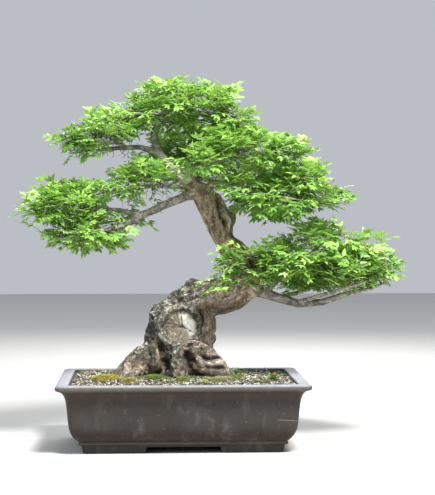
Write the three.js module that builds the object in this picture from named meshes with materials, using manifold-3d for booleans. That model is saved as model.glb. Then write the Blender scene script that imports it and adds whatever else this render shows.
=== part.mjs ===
// A bonsai tree in a rectangular stoneware tray pot, in millimetres, +Z up.
//
// The pot stands on four corner feet and holds soil over two drain screens. The trunk stands in the soil with
// its surface roots, and eight branches leave it. Each mass of leaves and fine twigs is one plain closed
// solid that the branches reach into. Moss cushions, a grass tuft and two small weeds sit on the soil.
//
// Everything is laid out around the centre of the pot's foot. The last lines move the whole group so that its
// origin is the middle of the overall box, on the surface that the pot stands on.
import * as THREE from "three";
import { mergeVertices } from "three/addons/utils/BufferGeometryUtils.js";
import Module from "manifold-3d";

const wasm = await Module();
wasm.setup();

// ---- Driving dimensions ----

const GAP = 0.3; // clearance between two solids that touch

const POT_LENGTH = 500; // outside of the rim, along X
const POT_WIDTH = 350; // outside of the rim, along Y
const POT_HEIGHT = 138;
const POT_WALL = 12;
const RIM_TOP_WIDTH = 25; // flat top face of the rolled rim
const RIM_DEPTH = 12; // height of the rolled rim
const RIM_OVERHANG = 15.5; // rim edge to the top of the body
const BODY_TAPER = 13; // how far the body draws in down to the turn of its base
const BASE_TURN = 16; // how far the rounded base then draws in to the waist line
const FOOT_INSET = 52; // rim edge to the outside of the feet, on the ground
const FOOT_HEIGHT = 13;
const FOOT_BAND = 20; // thickness of the foot band, seen from below
const FLOOR_THICKNESS = 12;
const CORNER_RADIUS = 12;
const FRONT_NOTCH = 154; // clear length between two feet, long side
const SIDE_NOTCH = 90; // clear length between two feet, short side
const NOTCH_SLOPE = 5; // how much the foot ends lean
const DRAIN_RADIUS = 15;
const DRAIN_SPACING = 240;
const SCREEN_SIZE = 56;
const SCREEN_THICKNESS = 2;
const SCREEN_BARS = 4; // openings along each side of a screen
const SCREEN_BAR = 3; // width of a screen's bars

const SOIL_BELOW_RIM = 6; // at the wall
const SOIL_MOUND = 9; // rise from the wall to the middle

const soilEdge = POT_HEIGHT - SOIL_BELOW_RIM;
const soilHalfLength = POT_LENGTH / 2 - RIM_TOP_WIDTH;
const soilHalfWidth = POT_WIDTH / 2 - RIM_TOP_WIDTH;

// ---- Solids ----

/** A closed geometry as a manifold solid. */
function solid(geometry) {
  geometry.deleteAttribute("normal");
  geometry.deleteAttribute("uv");
  const merged = mergeVertices(geometry, 1e-4);
  const vertProperties = new Float32Array(merged.attributes.position.array);
  const triVerts = new Uint32Array(merged.index.array);
  return new wasm.Manifold(new wasm.Mesh({ numProp: 3, vertProperties, triVerts }));
}

/** A manifold solid as a geometry for a THREE.Mesh. */
function geometryOf(body) {
  const { numProp, numVert, vertProperties, triVerts } = body.getMesh();
  const positions = new Float32Array(numVert * 3);
  for (let i = 0; i < numVert; i++) {
    positions.set(vertProperties.subarray(i * numProp, i * numProp + 3), i * 3);
  }
  const geometry = new THREE.BufferGeometry();
  geometry.setAttribute("position", new THREE.BufferAttribute(positions, 3));
  geometry.setIndex(new THREE.BufferAttribute(new Uint32Array(triVerts), 1));
  geometry.computeVertexNormals();
  return geometry;
}

const union = (solids) => solids.reduce((whole, next) => whole.add(next));

/** A box of the given size around a centre. */
function box(size, centre) {
  return solid(new THREE.BoxGeometry(...size).translate(...centre));
}

/**
 * Joins rings of equally many points into a solid. Each ring lies beyond the last one, and is anticlockwise
 * for someone who looks back from the last ring.
 */
function loft(rings, firstCentre, lastCentre) {
  const count = rings[0].length;
  const points = [...rings.flat(), firstCentre, lastCentre];
  const [first, last] = [points.length - 2, points.length - 1];
  const faces = [];
  rings.forEach((ring, level) => {
    for (let i = 0; i < count; i++) {
      const here = level * count + i;
      const next = level * count + ((i + 1) % count);
      if (level === 0) faces.push(first, next, here);
      if (level === rings.length - 1) faces.push(last, here, next);
      else faces.push(here, next, next + count, here, next + count, here + count);
    }
  });
  const geometry = new THREE.BufferGeometry().setFromPoints(points);
  geometry.setIndex(faces);
  return solid(geometry);
}

/** A rounded rectangle, drawn in from the pot's rim by inset, at one height. */
function potRing(inset, z, radius = CORNER_RADIUS, pointsPerCorner = 4) {
  const [halfLength, halfWidth] = [POT_LENGTH / 2 - inset, POT_WIDTH / 2 - inset];
  const ring = [];
  for (let corner = 0; corner < 4; corner++) {
    const signX = corner === 0 || corner === 3 ? 1 : -1;
    const signY = corner < 2 ? 1 : -1;
    for (let i = 0; i < pointsPerCorner; i++) {
      const angle = ((corner + i / (pointsPerCorner - 1)) * Math.PI) / 2;
      const x = signX * (halfLength - radius) + radius * Math.cos(angle);
      const y = signY * (halfWidth - radius) + radius * Math.sin(angle);
      ring.push(new THREE.Vector3(x, y, z));
    }
  }
  return ring;
}

/**
 * A round limb with domed ends through stations [x, y, height above the soil's edge, radius], made thicker
 * and longer by grow.
 */
function limb(stations, sides, grow = 0) {
  const centres = stations.map(([x, y, height]) => new THREE.Vector3(x, y, soilEdge + height));
  const path = new THREE.CatmullRomCurve3(centres, false, "centripetal");
  const last = stations.length - 1;
  const across = new THREE.Vector3(0, 1, 0.01);
  const turn = new THREE.Quaternion();
  let tangent = path.getTangent(0);
  across.addScaledVector(tangent, -across.dot(tangent)).normalize();
  const ends = [];
  const rings = centres.map((centre, station) => {
    const radius = stations[station][3] + grow;
    const next = path.getTangent(station / last);
    across.applyQuaternion(turn.setFromUnitVectors(tangent, next));
    tangent = next;
    if (station === 0 || station === last) {
      const outward = station === 0 ? -1 : 1;
      centre.addScaledVector(tangent, outward * grow);
      ends.push(centre.clone().addScaledVector(tangent, outward * radius * 0.4));
    }
    return Array.from({ length: sides }, (_, i) => {
      const spoke = across.clone().applyAxisAngle(tangent, (2 * Math.PI * i) / sides);
      return spoke.multiplyScalar(radius).add(centre);
    });
  });
  return loft(rings, ends[0], ends[1]);
}

/**
 * A rounded lump [x, y, height above the soil's edge, half length, half width, half height]. Its underside is
 * flatter than its top by the factor belly.
 */
function lump([x, y, height, halfX, halfY, halfZ], belly, grow = 0) {
  const geometry = new THREE.IcosahedronGeometry(1, 1);
  const position = geometry.attributes.position;
  for (let i = 0; i < position.count; i++) {
    if (position.getZ(i) < 0) position.setZ(i, position.getZ(i) * belly);
  }
  return solid(geometry.scale(halfX + grow, halfY + grow, halfZ + grow).translate(x, y, soilEdge + height));
}

// ---- Pot ----

const bodyTop = POT_HEIGHT - RIM_DEPTH - 4;
const waist = FOOT_HEIGHT + 9;
const turnTop = waist + 22; // where the rounded base begins
const bodyFoot = RIM_OVERHANG + BODY_TAPER;
const floorTop = FOOT_HEIGHT + FLOOR_THICKNESS;

function makePot() {
  const outside = [
    [FOOT_INSET, 0],
    [FOOT_INSET - 3, FOOT_HEIGHT + 2],
    [bodyFoot + BASE_TURN + 3, FOOT_HEIGHT + 5],
    [bodyFoot + BASE_TURN, waist],
    [bodyFoot + BASE_TURN * 0.55, waist + 7],
    [bodyFoot + BASE_TURN * 0.2, waist + 15],
    [bodyFoot, turnTop],
    [RIM_OVERHANG + BODY_TAPER * 0.5, (turnTop + bodyTop) / 2],
    [RIM_OVERHANG, bodyTop],
    [RIM_OVERHANG - 4, bodyTop + 3],
    [3, POT_HEIGHT - RIM_DEPTH],
    [0, POT_HEIGHT - RIM_DEPTH + 3],
    [0, POT_HEIGHT - 4],
    [3, POT_HEIGHT],
  ];
  const ends = [new THREE.Vector3(0, 0, 0), new THREE.Vector3(0, 0, POT_HEIGHT)];
  const shell = loft(outside.map(([inset, z]) => potRing(inset, z)), ...ends);
  const underside = box(
    [
      POT_LENGTH - 2 * (FOOT_INSET + FOOT_BAND),
      POT_WIDTH - 2 * (FOOT_INSET + FOOT_BAND),
      2 * FOOT_HEIGHT,
    ],
    [0, 0, 0],
  );
  const drains = [-1, 1].map((side) =>
    solid(
      new THREE.CylinderGeometry(DRAIN_RADIUS, DRAIN_RADIUS, 2 * FLOOR_THICKNESS, 20)
        .rotateX(Math.PI / 2)
        .translate((side * DRAIN_SPACING) / 2, 0, (FOOT_HEIGHT + floorTop) / 2),
    ),
  );
  return shell
    .subtract(cavity(0))
    .subtract(underside)
    .subtract(notch(FRONT_NOTCH, POT_WIDTH))
    .subtract(notch(SIDE_NOTCH, POT_LENGTH, Math.PI / 2))
    .subtract(union(drains));
}

/** The inside of the pot, from its floor to above its rim, drawn in by clearance. */
function cavity(clearance) {
  const wallInset = RIM_OVERHANG + POT_WALL;
  const inside = [
    [bodyFoot + POT_WALL + BASE_TURN * 0.6, floorTop + clearance],
    [bodyFoot + POT_WALL, turnTop],
    [wallInset, bodyTop - POT_WALL],
    [RIM_TOP_WIDTH, POT_HEIGHT - RIM_DEPTH / 2],
    [RIM_TOP_WIDTH, POT_HEIGHT + 1],
  ];
  const ends = [
    new THREE.Vector3(0, 0, floorTop + clearance),
    new THREE.Vector3(0, 0, POT_HEIGHT + 1),
  ];
  return loft(inside.map(([inset, z]) => potRing(inset + clearance, z)), ...ends);
}

/** The clear way between two feet, through the whole foot, turned about Z. */
function notch(clearLength, through, turned = 0) {
  const outline = new THREE.Shape([
    new THREE.Vector2(-clearLength / 2, -1),
    new THREE.Vector2(clearLength / 2, -1),
    new THREE.Vector2(clearLength / 2 - NOTCH_SLOPE, FOOT_HEIGHT),
    new THREE.Vector2(-clearLength / 2 + NOTCH_SLOPE, FOOT_HEIGHT),
  ]);
  const prism = new THREE.ExtrudeGeometry(outline, { depth: through, bevelEnabled: false });
  return solid(prism.translate(0, 0, -through / 2).rotateX(Math.PI / 2).rotateZ(turned));
}

/** One drain screen, a plate of square openings that lies on the pot's floor over a drain hole. */
function makeScreen(side) {
  const z = floorTop + GAP + SCREEN_THICKNESS / 2;
  const x = (side * DRAIN_SPACING) / 2;
  const pitch = (SCREEN_SIZE - SCREEN_BAR) / SCREEN_BARS;
  const opening = pitch - SCREEN_BAR;
  const openings = [];
  for (let i = 0; i < SCREEN_BARS; i++) {
    for (let j = 0; j < SCREEN_BARS; j++) {
      const [u, v] = [i, j].map((k) => (k - (SCREEN_BARS - 1) / 2) * pitch);
      openings.push(box([opening, opening, 2 * SCREEN_THICKNESS], [x + u, v, z]));
    }
  }
  return box([SCREEN_SIZE, SCREEN_SIZE, SCREEN_THICKNESS], [x, 0, z]).subtract(union(openings));
}

/** The space that a drain screen takes out of the soil. */
function screenPocket(side) {
  const size = SCREEN_SIZE + 2 * GAP;
  const centre = [(side * DRAIN_SPACING) / 2, 0, floorTop + SCREEN_THICKNESS];
  return box([size, size, 2 * SCREEN_THICKNESS], centre);
}

// ---- Soil ----

/** The soil, mounded towards the middle. Raised by lift, it shapes the underside of what lies on it. */
function soilBlock(lift = 0) {
  const mound = [
    [0, 0],
    [0.12, 0.4],
    [0.35, 0.75],
    [0.65, 0.95],
  ];
  const wallInset = RIM_TOP_WIDTH + GAP;
  const rings = [
    potRing(bodyFoot + POT_WALL + BASE_TURN * 0.6 + 1, floorTop + GAP),
    potRing(bodyFoot + POT_WALL + 1, turnTop),
    potRing(RIM_OVERHANG + POT_WALL + 1, bodyTop - POT_WALL),
    ...mound.map(([inwards, rise]) => {
      const ring = potRing(wallInset + 0.5, soilEdge + lift + rise * SOIL_MOUND);
      return ring.map((p) => new THREE.Vector3(p.x * (1 - inwards), p.y * (1 - inwards), p.z));
    }),
  ];
  const top = soilEdge + lift + SOIL_MOUND;
  return loft(rings, new THREE.Vector3(0, 0, floorTop + GAP), new THREE.Vector3(0, 0, top));
}

// ---- Trunk ----

const LOWER_TRUNK = [
  [-6, 38, -16, 66],
  [-8, 37, 18, 70],
  [-9, 35, 58, 69],
  [-8, 33, 94, 65],
  [-2, 30, 120, 57],
  [16, 28, 146, 45],
  [46, 26, 163, 39],
  [80, 24, 170, 38],
  [112, 22, 180, 37],
  [140, 20, 189, 27],
  [156, 19, 186, 17],
];

const UPPER_TRUNK = [
  [112, 24, 176, 30],
  [126, 24, 206, 32],
  [122, 24, 238, 30],
  [99, 25, 279, 27.5],
  [76, 27, 323, 27],
  [58, 28, 362, 28],
  [36, 28, 388, 20],
  [8, 27, 408, 13.5],
  [-23, 26, 433, 11],
  [-50, 26, 468, 9.5],
  [-57, 28, 504, 8],
  [-40, 30, 544, 6],
  [-14, 30, 576, 4],
  [0, 28, 590, 2.5],
];

/** Swellings and old callus on the trunk, as lumps. */
const BURLS = [
  [-22, 18, 126, 44, 44, 40],
  [36, 22, 168, 36, 36, 36],
  [80, 24, 320, 32, 24, 30],
  [150, 12, 206, 15, 15, 13],
];

/** Surface roots. Their x and y are shares of the soil's half length and half width: they stay in the pot. */
const ROOTS = {
  left: [
    [-0.156, 0.147, 54, 42],
    [-0.293, 0.04, 36, 34],
    [-0.418, -0.027, 20, 24],
    [-0.533, -0.067, 6, 15],
    [-0.631, -0.08, -8, 9],
  ],
  leftFront: [
    [-0.267, 0.027, 30, 22],
    [-0.382, -0.12, 20, 16],
    [-0.471, -0.24, 7, 12],
    [-0.533, -0.307, -6, 9],
  ],
  front: [
    [-0.044, 0, 64, 28],
    [-0.053, -0.147, 40, 23],
    [-0.053, -0.227, 18, 19],
    [-0.053, -0.253, -2, 17],
  ],
  rightFront: [
    [0.044, 0.013, 74, 20],
    [0.16, -0.107, 52, 16],
    [0.258, -0.16, 34, 13],
    [0.338, -0.173, 16, 12],
    [0.409, -0.173, -4, 9],
  ],
  rightLow: [
    [0.08, -0.04, 40, 20],
    [0.187, -0.187, 26, 12],
    [0.293, -0.24, 22, 10],
    [0.382, -0.24, 16, 8.5],
    [0.436, -0.22, 0, 6],
  ],
  rightStrand: [
    [0.196, 0.12, 158, 20],
    [0.24, 0.093, 120, 16],
    [0.231, 0.067, 82, 15],
    [0.178, 0.053, 44, 18],
  ],
  right: [
    [0.133, 0.24, 48, 36],
    [0.276, 0.267, 26, 24],
    [0.4, 0.293, 10, 14],
    [0.516, 0.307, -8, 8],
  ],
  backRight: [
    [0.098, 0.413, 52, 34],
    [0.213, 0.587, 26, 22],
    [0.293, 0.72, 9, 13],
    [0.356, 0.813, -8, 8],
  ],
  backLeft: [
    [-0.133, 0.44, 52, 34],
    [-0.267, 0.613, 26, 22],
    [-0.364, 0.747, 8, 13],
    [-0.427, 0.84, -8, 8],
  ],
};

/** A station whose x and y are shares of the soil's half length and half width, in millimetres. */
const onSoil = ([u, v, ...rest]) => [u * soilHalfLength, v * soilHalfWidth, ...rest];

function trunkSolid(grow = 0) {
  return union([
    limb(LOWER_TRUNK, 14, grow),
    limb(UPPER_TRUNK, 10, grow),
    ...BURLS.map((burl) => lump(burl, 1, grow)),
    ...Object.values(ROOTS).map((root) => limb(root.map(onSoil), 8, grow)),
  ]);
}

// ---- Branches ----
// Each branch is its main limb, then its side limbs. Each limb starts inside what it grows from.

const BRANCHES = {
  branch_right_low: [
    [
      [146, 18, 184, 15],
      [168, 14, 177, 11.5],
      [204, 8, 165, 9.5],
      [240, 2, 155, 8.5],
      [288, -4, 158, 7],
      [342, -8, 176, 5.5],
      [388, -10, 186, 3.5],
      [420, -10, 198, 2.5],
    ],
    [
      [200, 9, 166, 7],
      [238, 40, 174, 5],
      [284, 74, 186, 3.8],
      [340, 96, 198, 2.5],
    ],
    [
      [236, 3, 156, 6],
      [270, -34, 170, 4.5],
      [318, -58, 186, 3.5],
      [362, -68, 200, 2.5],
    ],
    [
      [172, 13, 177, 7],
      [196, 8, 200, 5],
      [238, 4, 236, 4],
      [282, 0, 272, 2.8],
    ],
  ],
  branch_left: [
    [
      [38, 24, 382, 13],
      [8, 20, 376, 10],
      [-38, 14, 357, 8.5],
      [-83, 8, 335, 7.5],
      [-122, 4, 314, 6.5],
      [-164, 0, 304, 5],
      [-226, -4, 295, 3.5],
      [-280, -6, 292, 2.5],
    ],
    [
      [-80, 9, 336, 6],
      [-128, 4, 348, 4.5],
      [-184, -2, 350, 3.8],
      [-240, -4, 346, 2.8],
      [-286, -6, 338, 2.2],
    ],
    [
      [-34, 15, 358, 6],
      [-68, 48, 346, 4.8],
      [-116, 82, 330, 3.8],
      [-172, 100, 320, 2.5],
    ],
    [
      [-118, 4, 316, 5],
      [-152, -34, 308, 4],
      [-196, -54, 302, 3],
      [-236, -62, 300, 2.2],
    ],
  ],
  branch_left_middle: [
    [
      [14, 30, 400, 12],
      [-16, 24, 398, 7],
      [-56, 14, 398, 5.5],
      [-104, 8, 392, 4.2],
      [-158, 4, 386, 2.6],
    ],
    [
      [-30, 21, 399, 4.8],
      [-58, -14, 402, 3.6],
      [-92, -38, 402, 2.4],
    ],
  ],
  branch_right: [
    [
      [44, 24, 376, 16],
      [62, 18, 400, 10],
      [100, 12, 400, 9],
      [140, 6, 388, 8],
      [194, 2, 374, 6.5],
      [256, 0, 364, 5],
      [312, 0, 360, 3],
    ],
    [
      [136, 7, 389, 6],
      [168, 44, 390, 4.8],
      [204, 78, 388, 3.4],
    ],
    [
      [140, 6, 388, 5.5],
      [176, -30, 376, 4.2],
      [222, -54, 370, 3],
    ],
    [
      [190, 2, 375, 5],
      [222, 0, 392, 4],
      [264, 2, 412, 2.8],
    ],
  ],
  branch_upper_right: [
    [
      [6, 28, 409, 11],
      [34, 18, 434, 7.5],
      [78, 6, 452, 6],
      [126, -2, 460, 4.8],
      [182, -2, 452, 3.2],
      [232, 0, 444, 2.4],
    ],
    [
      [74, 7, 451, 4.8],
      [104, -36, 458, 3.6],
      [132, -60, 462, 2.4],
    ],
  ],
  branch_upper_left: [
    [
      [-48, 26, 466, 8],
      [-86, 20, 477, 5.5],
      [-128, 14, 475, 4.6],
      [-180, 10, 470, 3.6],
      [-232, 6, 470, 2.4],
    ],
    [
      [-110, 17, 476, 4],
      [-142, -16, 486, 3],
      [-176, -34, 490, 2.2],
    ],
  ],
  branch_apex: [
    [
      [-46, 29, 530, 6.5],
      [-18, 20, 540, 5],
      [22, 12, 546, 4.4],
      [68, 8, 544, 3.4],
      [110, 6, 538, 2.4],
    ],
    [
      [-24, 22, 538, 5],
      [-42, 0, 540, 3.8],
      [-66, -16, 542, 3],
      [-94, -22, 544, 2.2],
    ],
  ],
  branch_back: [
    [
      [30, 32, 386, 14],
      [32, 66, 404, 9],
      [34, 106, 420, 7],
      [36, 150, 434, 5],
      [36, 190, 444, 3],
    ],
    [
      [33, 90, 414, 5.5],
      [-8, 122, 416, 4],
      [-60, 146, 416, 2.8],
    ],
    [
      [34, 94, 415, 5.5],
      [82, 120, 408, 4.2],
      [142, 140, 400, 2.8],
    ],
  ],
};

/** A branch's limbs in one solid. Main limbs get more sides than side limbs. */
function branchSolid(limbs, grow = 0) {
  return union(limbs.map((stations, i) => limb(stations, i === 0 ? 7 : 5, grow)));
}

// ---- Foliage ----
// Each mass of leaves and twigs is a cluster of lumps.

const FOLIAGE_BELLY = 0.75;

const FOLIAGE = {
  foliage_apex: [
    [-14, 26, 556, 100, 100, 60],
    [76, 8, 560, 60, 74, 50],
    [108, 10, 524, 56, 68, 34],
    [-74, 20, 536, 70, 86, 42],
  ],
  foliage_upper_left: [
    [-152, 8, 510, 66, 80, 42],
    [-206, 2, 482, 52, 60, 30],
  ],
  foliage_upper_right: [
    [112, -16, 476, 84, 86, 46],
    [200, 0, 458, 78, 80, 42],
  ],
  foliage_right: [
    [258, 0, 406, 80, 84, 40],
    [286, -2, 368, 66, 72, 38],
    [184, -10, 360, 90, 90, 46],
    [98, -36, 390, 58, 54, 34],
  ],
  foliage_left_middle: [
    [-54, 4, 416, 74, 82, 34],
    [-132, 0, 394, 74, 76, 32],
  ],
  foliage_left: [
    [-230, 0, 358, 90, 94, 44],
    [-284, -8, 338, 56, 62, 30],
    [-196, -10, 296, 102, 88, 42],
    [-120, -12, 318, 38, 46, 30],
    [-182, 98, 326, 80, 62, 34],
  ],
  foliage_right_low: [
    [230, -10, 230, 88, 88, 54],
    [324, -10, 226, 98, 90, 58],
    [396, -4, 216, 62, 64, 42],
    [284, 0, 286, 62, 62, 38],
    [300, 88, 212, 90, 62, 42],
  ],
  foliage_fork: [
    [142, -40, 262, 60, 42, 30],
    [94, -42, 226, 50, 36, 34],
    [168, -32, 220, 48, 46, 40],
  ],
  foliage_front: [[38, -72, 442, 64, 54, 38]],
  foliage_back: [
    [40, 158, 468, 110, 78, 68],
    [-70, 142, 428, 78, 70, 46],
    [148, 142, 414, 90, 70, 46],
  ],
};

function foliageSolid(lumps, grow = 0) {
  return union(lumps.map((each) => lump(each, FOLIAGE_BELLY, grow)));
}

// ---- On the soil ----
// Cushions and tufts are lumps that rest on the soil: [x, y, half length, half width, height]. Their x and y
// are shares of the soil's half length and half width.

const GROUND_COVER = {
  moss_left: [-0.667, -0.347, 36, 34, 9],
  moss_front_left: [-0.444, -0.64, 22, 20, 8],
  moss_root: [-0.249, -0.387, 34, 22, 9],
  moss_centre: [-0.009, -0.56, 26, 24, 8],
  moss_right: [0.311, -0.573, 46, 34, 8],
  grass_tuft: [0.498, 0.013, 16, 14, 22],
  weed_front: [0.187, -0.853, 14, 12, 12],
  weed_right: [0.809, -0.44, 26, 26, 16],
};

/** A cushion or tuft, made larger by grow. */
function coverLump(cover, grow = 0) {
  const [x, y, halfX, halfY, height] = onSoil(cover);
  return lump([x, y, SOIL_MOUND * 0.6, halfX, halfY, height], 1, grow);
}

// ---- Assembly ----

const materials = {
  stoneware: { color: 0x544b45, roughness: 0.62, metalness: 0 },
  screen: { color: 0x1f4a2c, roughness: 0.6, metalness: 0 },
  soil: { color: 0x8a7a5c, roughness: 0.95, metalness: 0 },
  bark: { color: 0x8a7358, roughness: 0.9, metalness: 0 },
  leaves: { color: 0x6fae2e, roughness: 0.55, metalness: 0 },
  moss: { color: 0xa89a2c, roughness: 0.95, metalness: 0 },
};

const group = new THREE.Group();

function place(name, body, material) {
  const mesh = new THREE.Mesh(geometryOf(body), new THREE.MeshStandardMaterial(materials[material]));
  mesh.name = name;
  group.add(mesh);
}

const trunk = trunkSolid();
const trunkRoom = trunkSolid(GAP);

place("pot", makePot(), "stoneware");
place("drain_screen_left", makeScreen(-1), "screen");
place("drain_screen_right", makeScreen(1), "screen");
place("soil", soilBlock().subtract(trunkRoom).subtract(screenPocket(-1)).subtract(screenPocket(1)), "soil");
place("trunk", trunk, "bark");

let branchRoom = trunkRoom;
for (const [name, limbs] of Object.entries(BRANCHES)) {
  place(name, branchSolid(limbs).subtract(branchRoom), "bark");
  branchRoom = branchRoom.add(branchSolid(limbs, GAP));
}

let foliageRoom = branchRoom;
for (const [name, lumps] of Object.entries(FOLIAGE)) {
  place(name, foliageSolid(lumps).subtract(foliageRoom), "leaves");
  foliageRoom = foliageRoom.add(foliageSolid(lumps, GAP));
}

let coverRoom = soilBlock(GAP).add(trunkRoom);
for (const [name, cover] of Object.entries(GROUND_COVER)) {
  place(name, coverLump(cover).subtract(coverRoom), "moss");
  coverRoom = coverRoom.add(coverLump(cover, GAP));
}

// The origin is the middle of the overall box, on the ground.
const overall = new THREE.Box3().setFromObject(group, true);
const middle = overall.getCenter(new THREE.Vector3());
group.position.set(-middle.x, -middle.y, -overall.min.z);

export default group;
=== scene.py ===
"""A bonsai tree in a rectangular stoneware tray pot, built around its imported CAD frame.

The wood is remeshed from the frame's trunk and branches and gets its bark as relief. Twigs then grow from
the wood into the frame's masses of foliage, and compound leaves are set along the twigs. The pot is lofted,
and grit, litter, moss and grass lie on the soil.
"""

import math

import bmesh
import bpy
import numpy as np
from bpy.props import FloatProperty, FloatVectorProperty, IntProperty, PointerProperty
from bpy.types import Operator, Panel, PropertyGroup
from mathutils import Matrix, Vector, noise
from mathutils.bvhtree import BVHTree
from mathutils.kdtree import KDTree


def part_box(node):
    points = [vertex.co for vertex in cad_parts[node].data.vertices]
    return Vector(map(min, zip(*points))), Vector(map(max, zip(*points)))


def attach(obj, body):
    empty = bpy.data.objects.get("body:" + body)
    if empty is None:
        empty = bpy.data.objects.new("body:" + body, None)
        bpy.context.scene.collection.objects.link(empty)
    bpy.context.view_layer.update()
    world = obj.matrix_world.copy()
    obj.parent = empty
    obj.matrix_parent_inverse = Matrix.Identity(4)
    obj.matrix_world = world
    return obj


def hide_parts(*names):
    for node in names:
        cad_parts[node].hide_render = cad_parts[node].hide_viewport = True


bl_info = {
    "name": "Potted Bonsai",
    "version": (1, 0, 0),
    "blender": (4, 5, 0),
    "location": "3D Viewport > Sidebar > Bonsai",
    "description": "Builds a broadleaf bonsai tree in a rectangular tray pot",
    "category": "Object",
}

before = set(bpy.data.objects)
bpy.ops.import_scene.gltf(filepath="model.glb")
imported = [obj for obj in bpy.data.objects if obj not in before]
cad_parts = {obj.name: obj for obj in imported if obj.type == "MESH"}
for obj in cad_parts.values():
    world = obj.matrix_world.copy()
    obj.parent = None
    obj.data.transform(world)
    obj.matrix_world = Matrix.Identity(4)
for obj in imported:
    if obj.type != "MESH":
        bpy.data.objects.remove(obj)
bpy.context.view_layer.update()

MM = 0.001
BODY = "root"
WOOD_NODES = sorted(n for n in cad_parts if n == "trunk" or n.startswith("branch_"))
FOLIAGE_NODES = sorted(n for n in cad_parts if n.startswith("foliage_"))
MOSS_NODES = sorted(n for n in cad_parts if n.startswith("moss_"))
SCREEN_NODES = sorted(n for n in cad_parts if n.startswith("drain_screen_"))

POT_LOW, POT_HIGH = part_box("pot")
POT_SIZE = (POT_HIGH - POT_LOW) / MM
FOOT_MIDDLE = Vector(((POT_LOW.x + POT_HIGH.x) / 2, (POT_LOW.y + POT_HIGH.y) / 2, POT_LOW.z))


# ---- Numbers and meshes ----


def place(points):
    """Millimetres from the middle of the pot's foot, as metres in the frame."""
    return np.asarray(points, float) * MM + np.array(FOOT_MIDDLE)


def from_pot(points):
    """Metres in the frame, as millimetres from the middle of the pot's foot."""
    return (np.asarray(points, float) - np.array(FOOT_MIDDLE)) / MM


def along_path(path, step):
    """Points at that spacing along a path."""
    path = np.asarray(path, float)
    reach = np.concatenate([[0], np.cumsum(np.linalg.norm(np.diff(path, axis=0), axis=1))])
    marks = np.arange(0, reach[-1], step)
    return np.column_stack([np.interp(marks, reach, column) for column in path.T])


def smoothstep(low, high, values):
    share = np.clip((np.asarray(values, float) - low) / (high - low), 0, 1)
    return share * share * (3 - 2 * share)


def unit(vectors):
    vectors = np.asarray(vectors, float)
    return vectors / np.maximum(np.linalg.norm(vectors, axis=-1, keepdims=True), 1e-9)


def bell(distance, width):
    """1 at no distance, falling away smoothly beyond that width."""
    return np.exp(-((distance / width) ** 2))


def lumps(points, size, octaves=3, shift=0.0):
    """Fractal noise, mostly from -1 to 1, with lumps of about that size in the points' own unit."""
    scaled = (np.asarray(points, float) / size + shift).tolist()
    return np.array([noise.fractal(p, 1.0, 2.0, octaves) for p in scaled])


def new_mesh(name, points, faces, smooth=True, **attributes):
    """A mesh from points in metres. Each attribute holds a number or a vector for each point."""
    mesh = bpy.data.meshes.new(name)
    mesh.from_pydata(np.asarray(points, float).tolist(), [], [list(map(int, f)) for f in faces])
    for key, values in attributes.items():
        values = np.asarray(values, np.float32)
        kind = ("FLOAT_VECTOR", "vector") if values.ndim == 2 else ("FLOAT", "value")
        layer = mesh.attributes.new(key, kind[0], "POINT")
        layer.data.foreach_set(kind[1], values.ravel())
    if smooth:
        mesh.shade_smooth()
    if mesh.validate():
        raise ValueError(f"{name}: faces that cannot be built")
    return mesh


def new_object(name, data):
    obj = bpy.data.objects.new(name, data)
    bpy.context.scene.collection.objects.link(obj)
    return obj


def finish_piece(obj, slot, *replaced):
    """The piece rides on the object's one body and stands for the CAD nodes named."""
    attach(obj, BODY)
    if replaced:
        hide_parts(*replaced)
    return obj


def evaluated(obj, remove=True):
    """The object's mesh with its modifiers applied. The object itself goes, unless remove is false."""
    depsgraph = bpy.context.evaluated_depsgraph_get()
    mesh = bpy.data.meshes.new_from_object(obj.evaluated_get(depsgraph), depsgraph=depsgraph)
    if remove:
        bpy.data.objects.remove(obj)
    return mesh


def arrays_of(mesh):
    """A mesh's points, and its faces as lists."""
    points = np.empty(len(mesh.vertices) * 3)
    mesh.vertices.foreach_get("co", points)
    return points.reshape(-1, 3), [list(p.vertices) for p in mesh.polygons]


def normals_of(mesh):
    normals = np.empty(len(mesh.vertices) * 3, np.float32)
    mesh.vertices.foreach_get("normal", normals)
    return normals.reshape(-1, 3).astype(float)


def mesh_of(name, shape):
    """The bmesh as a mesh. The bmesh itself is freed."""
    mesh = bpy.data.meshes.new(name)
    shape.to_mesh(mesh)
    shape.free()
    return mesh


def remeshed(mesh, voxel):
    """The mesh as one closed surface of even faces."""
    blank = new_object(mesh.name, mesh)
    remesh = blank.modifiers.new("Remesh", "REMESH")
    remesh.mode = "VOXEL"
    remesh.voxel_size = voxel
    return evaluated(blank)


def cad_shape(names, swell=0.0):
    """A bmesh of CAD nodes with their loose triangles merged, each solid swollen by that many metres."""
    shape = bmesh.new()
    for name in names:
        shape.from_mesh(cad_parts[name].data)
    bmesh.ops.remove_doubles(shape, verts=shape.verts, dist=1e-6)
    shape.normal_update()
    offsets = [v.normal * swell for v in shape.verts]
    for vertex, offset in zip(shape.verts, offsets):
        vertex.co += offset
    return shape


def cad_tree(name):
    """The CAD node's surface, for its nearest point or where a ray meets it."""
    shape = cad_shape([name])
    tree = BVHTree.FromBMesh(shape)
    shape.free()
    return tree


def gaps_to(others, points):
    """How far each point lies from the nearest of the others."""
    tree = KDTree(len(others))
    for i, p in enumerate(others):
        tree.insert(p, i)
    tree.balance()
    return np.array([tree.find(p)[2] for p in points.tolist()])


def ring_faces(rings, sides):
    """Faces over rings of points, and fans to the two end points that follow them."""
    faces = []
    for ring in range(rings - 1):
        for i in range(sides):
            a, b = ring * sides + i, ring * sides + (i + 1) % sides
            faces.append([a, b, b + sides, a + sides])
    first, last, top = rings * sides, rings * sides + 1, (rings - 1) * sides
    for i in range(sides):
        faces.append([first, (i + 1) % sides, i])
        faces.append([last, top + i, top + (i + 1) % sides])
    return faces


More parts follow.
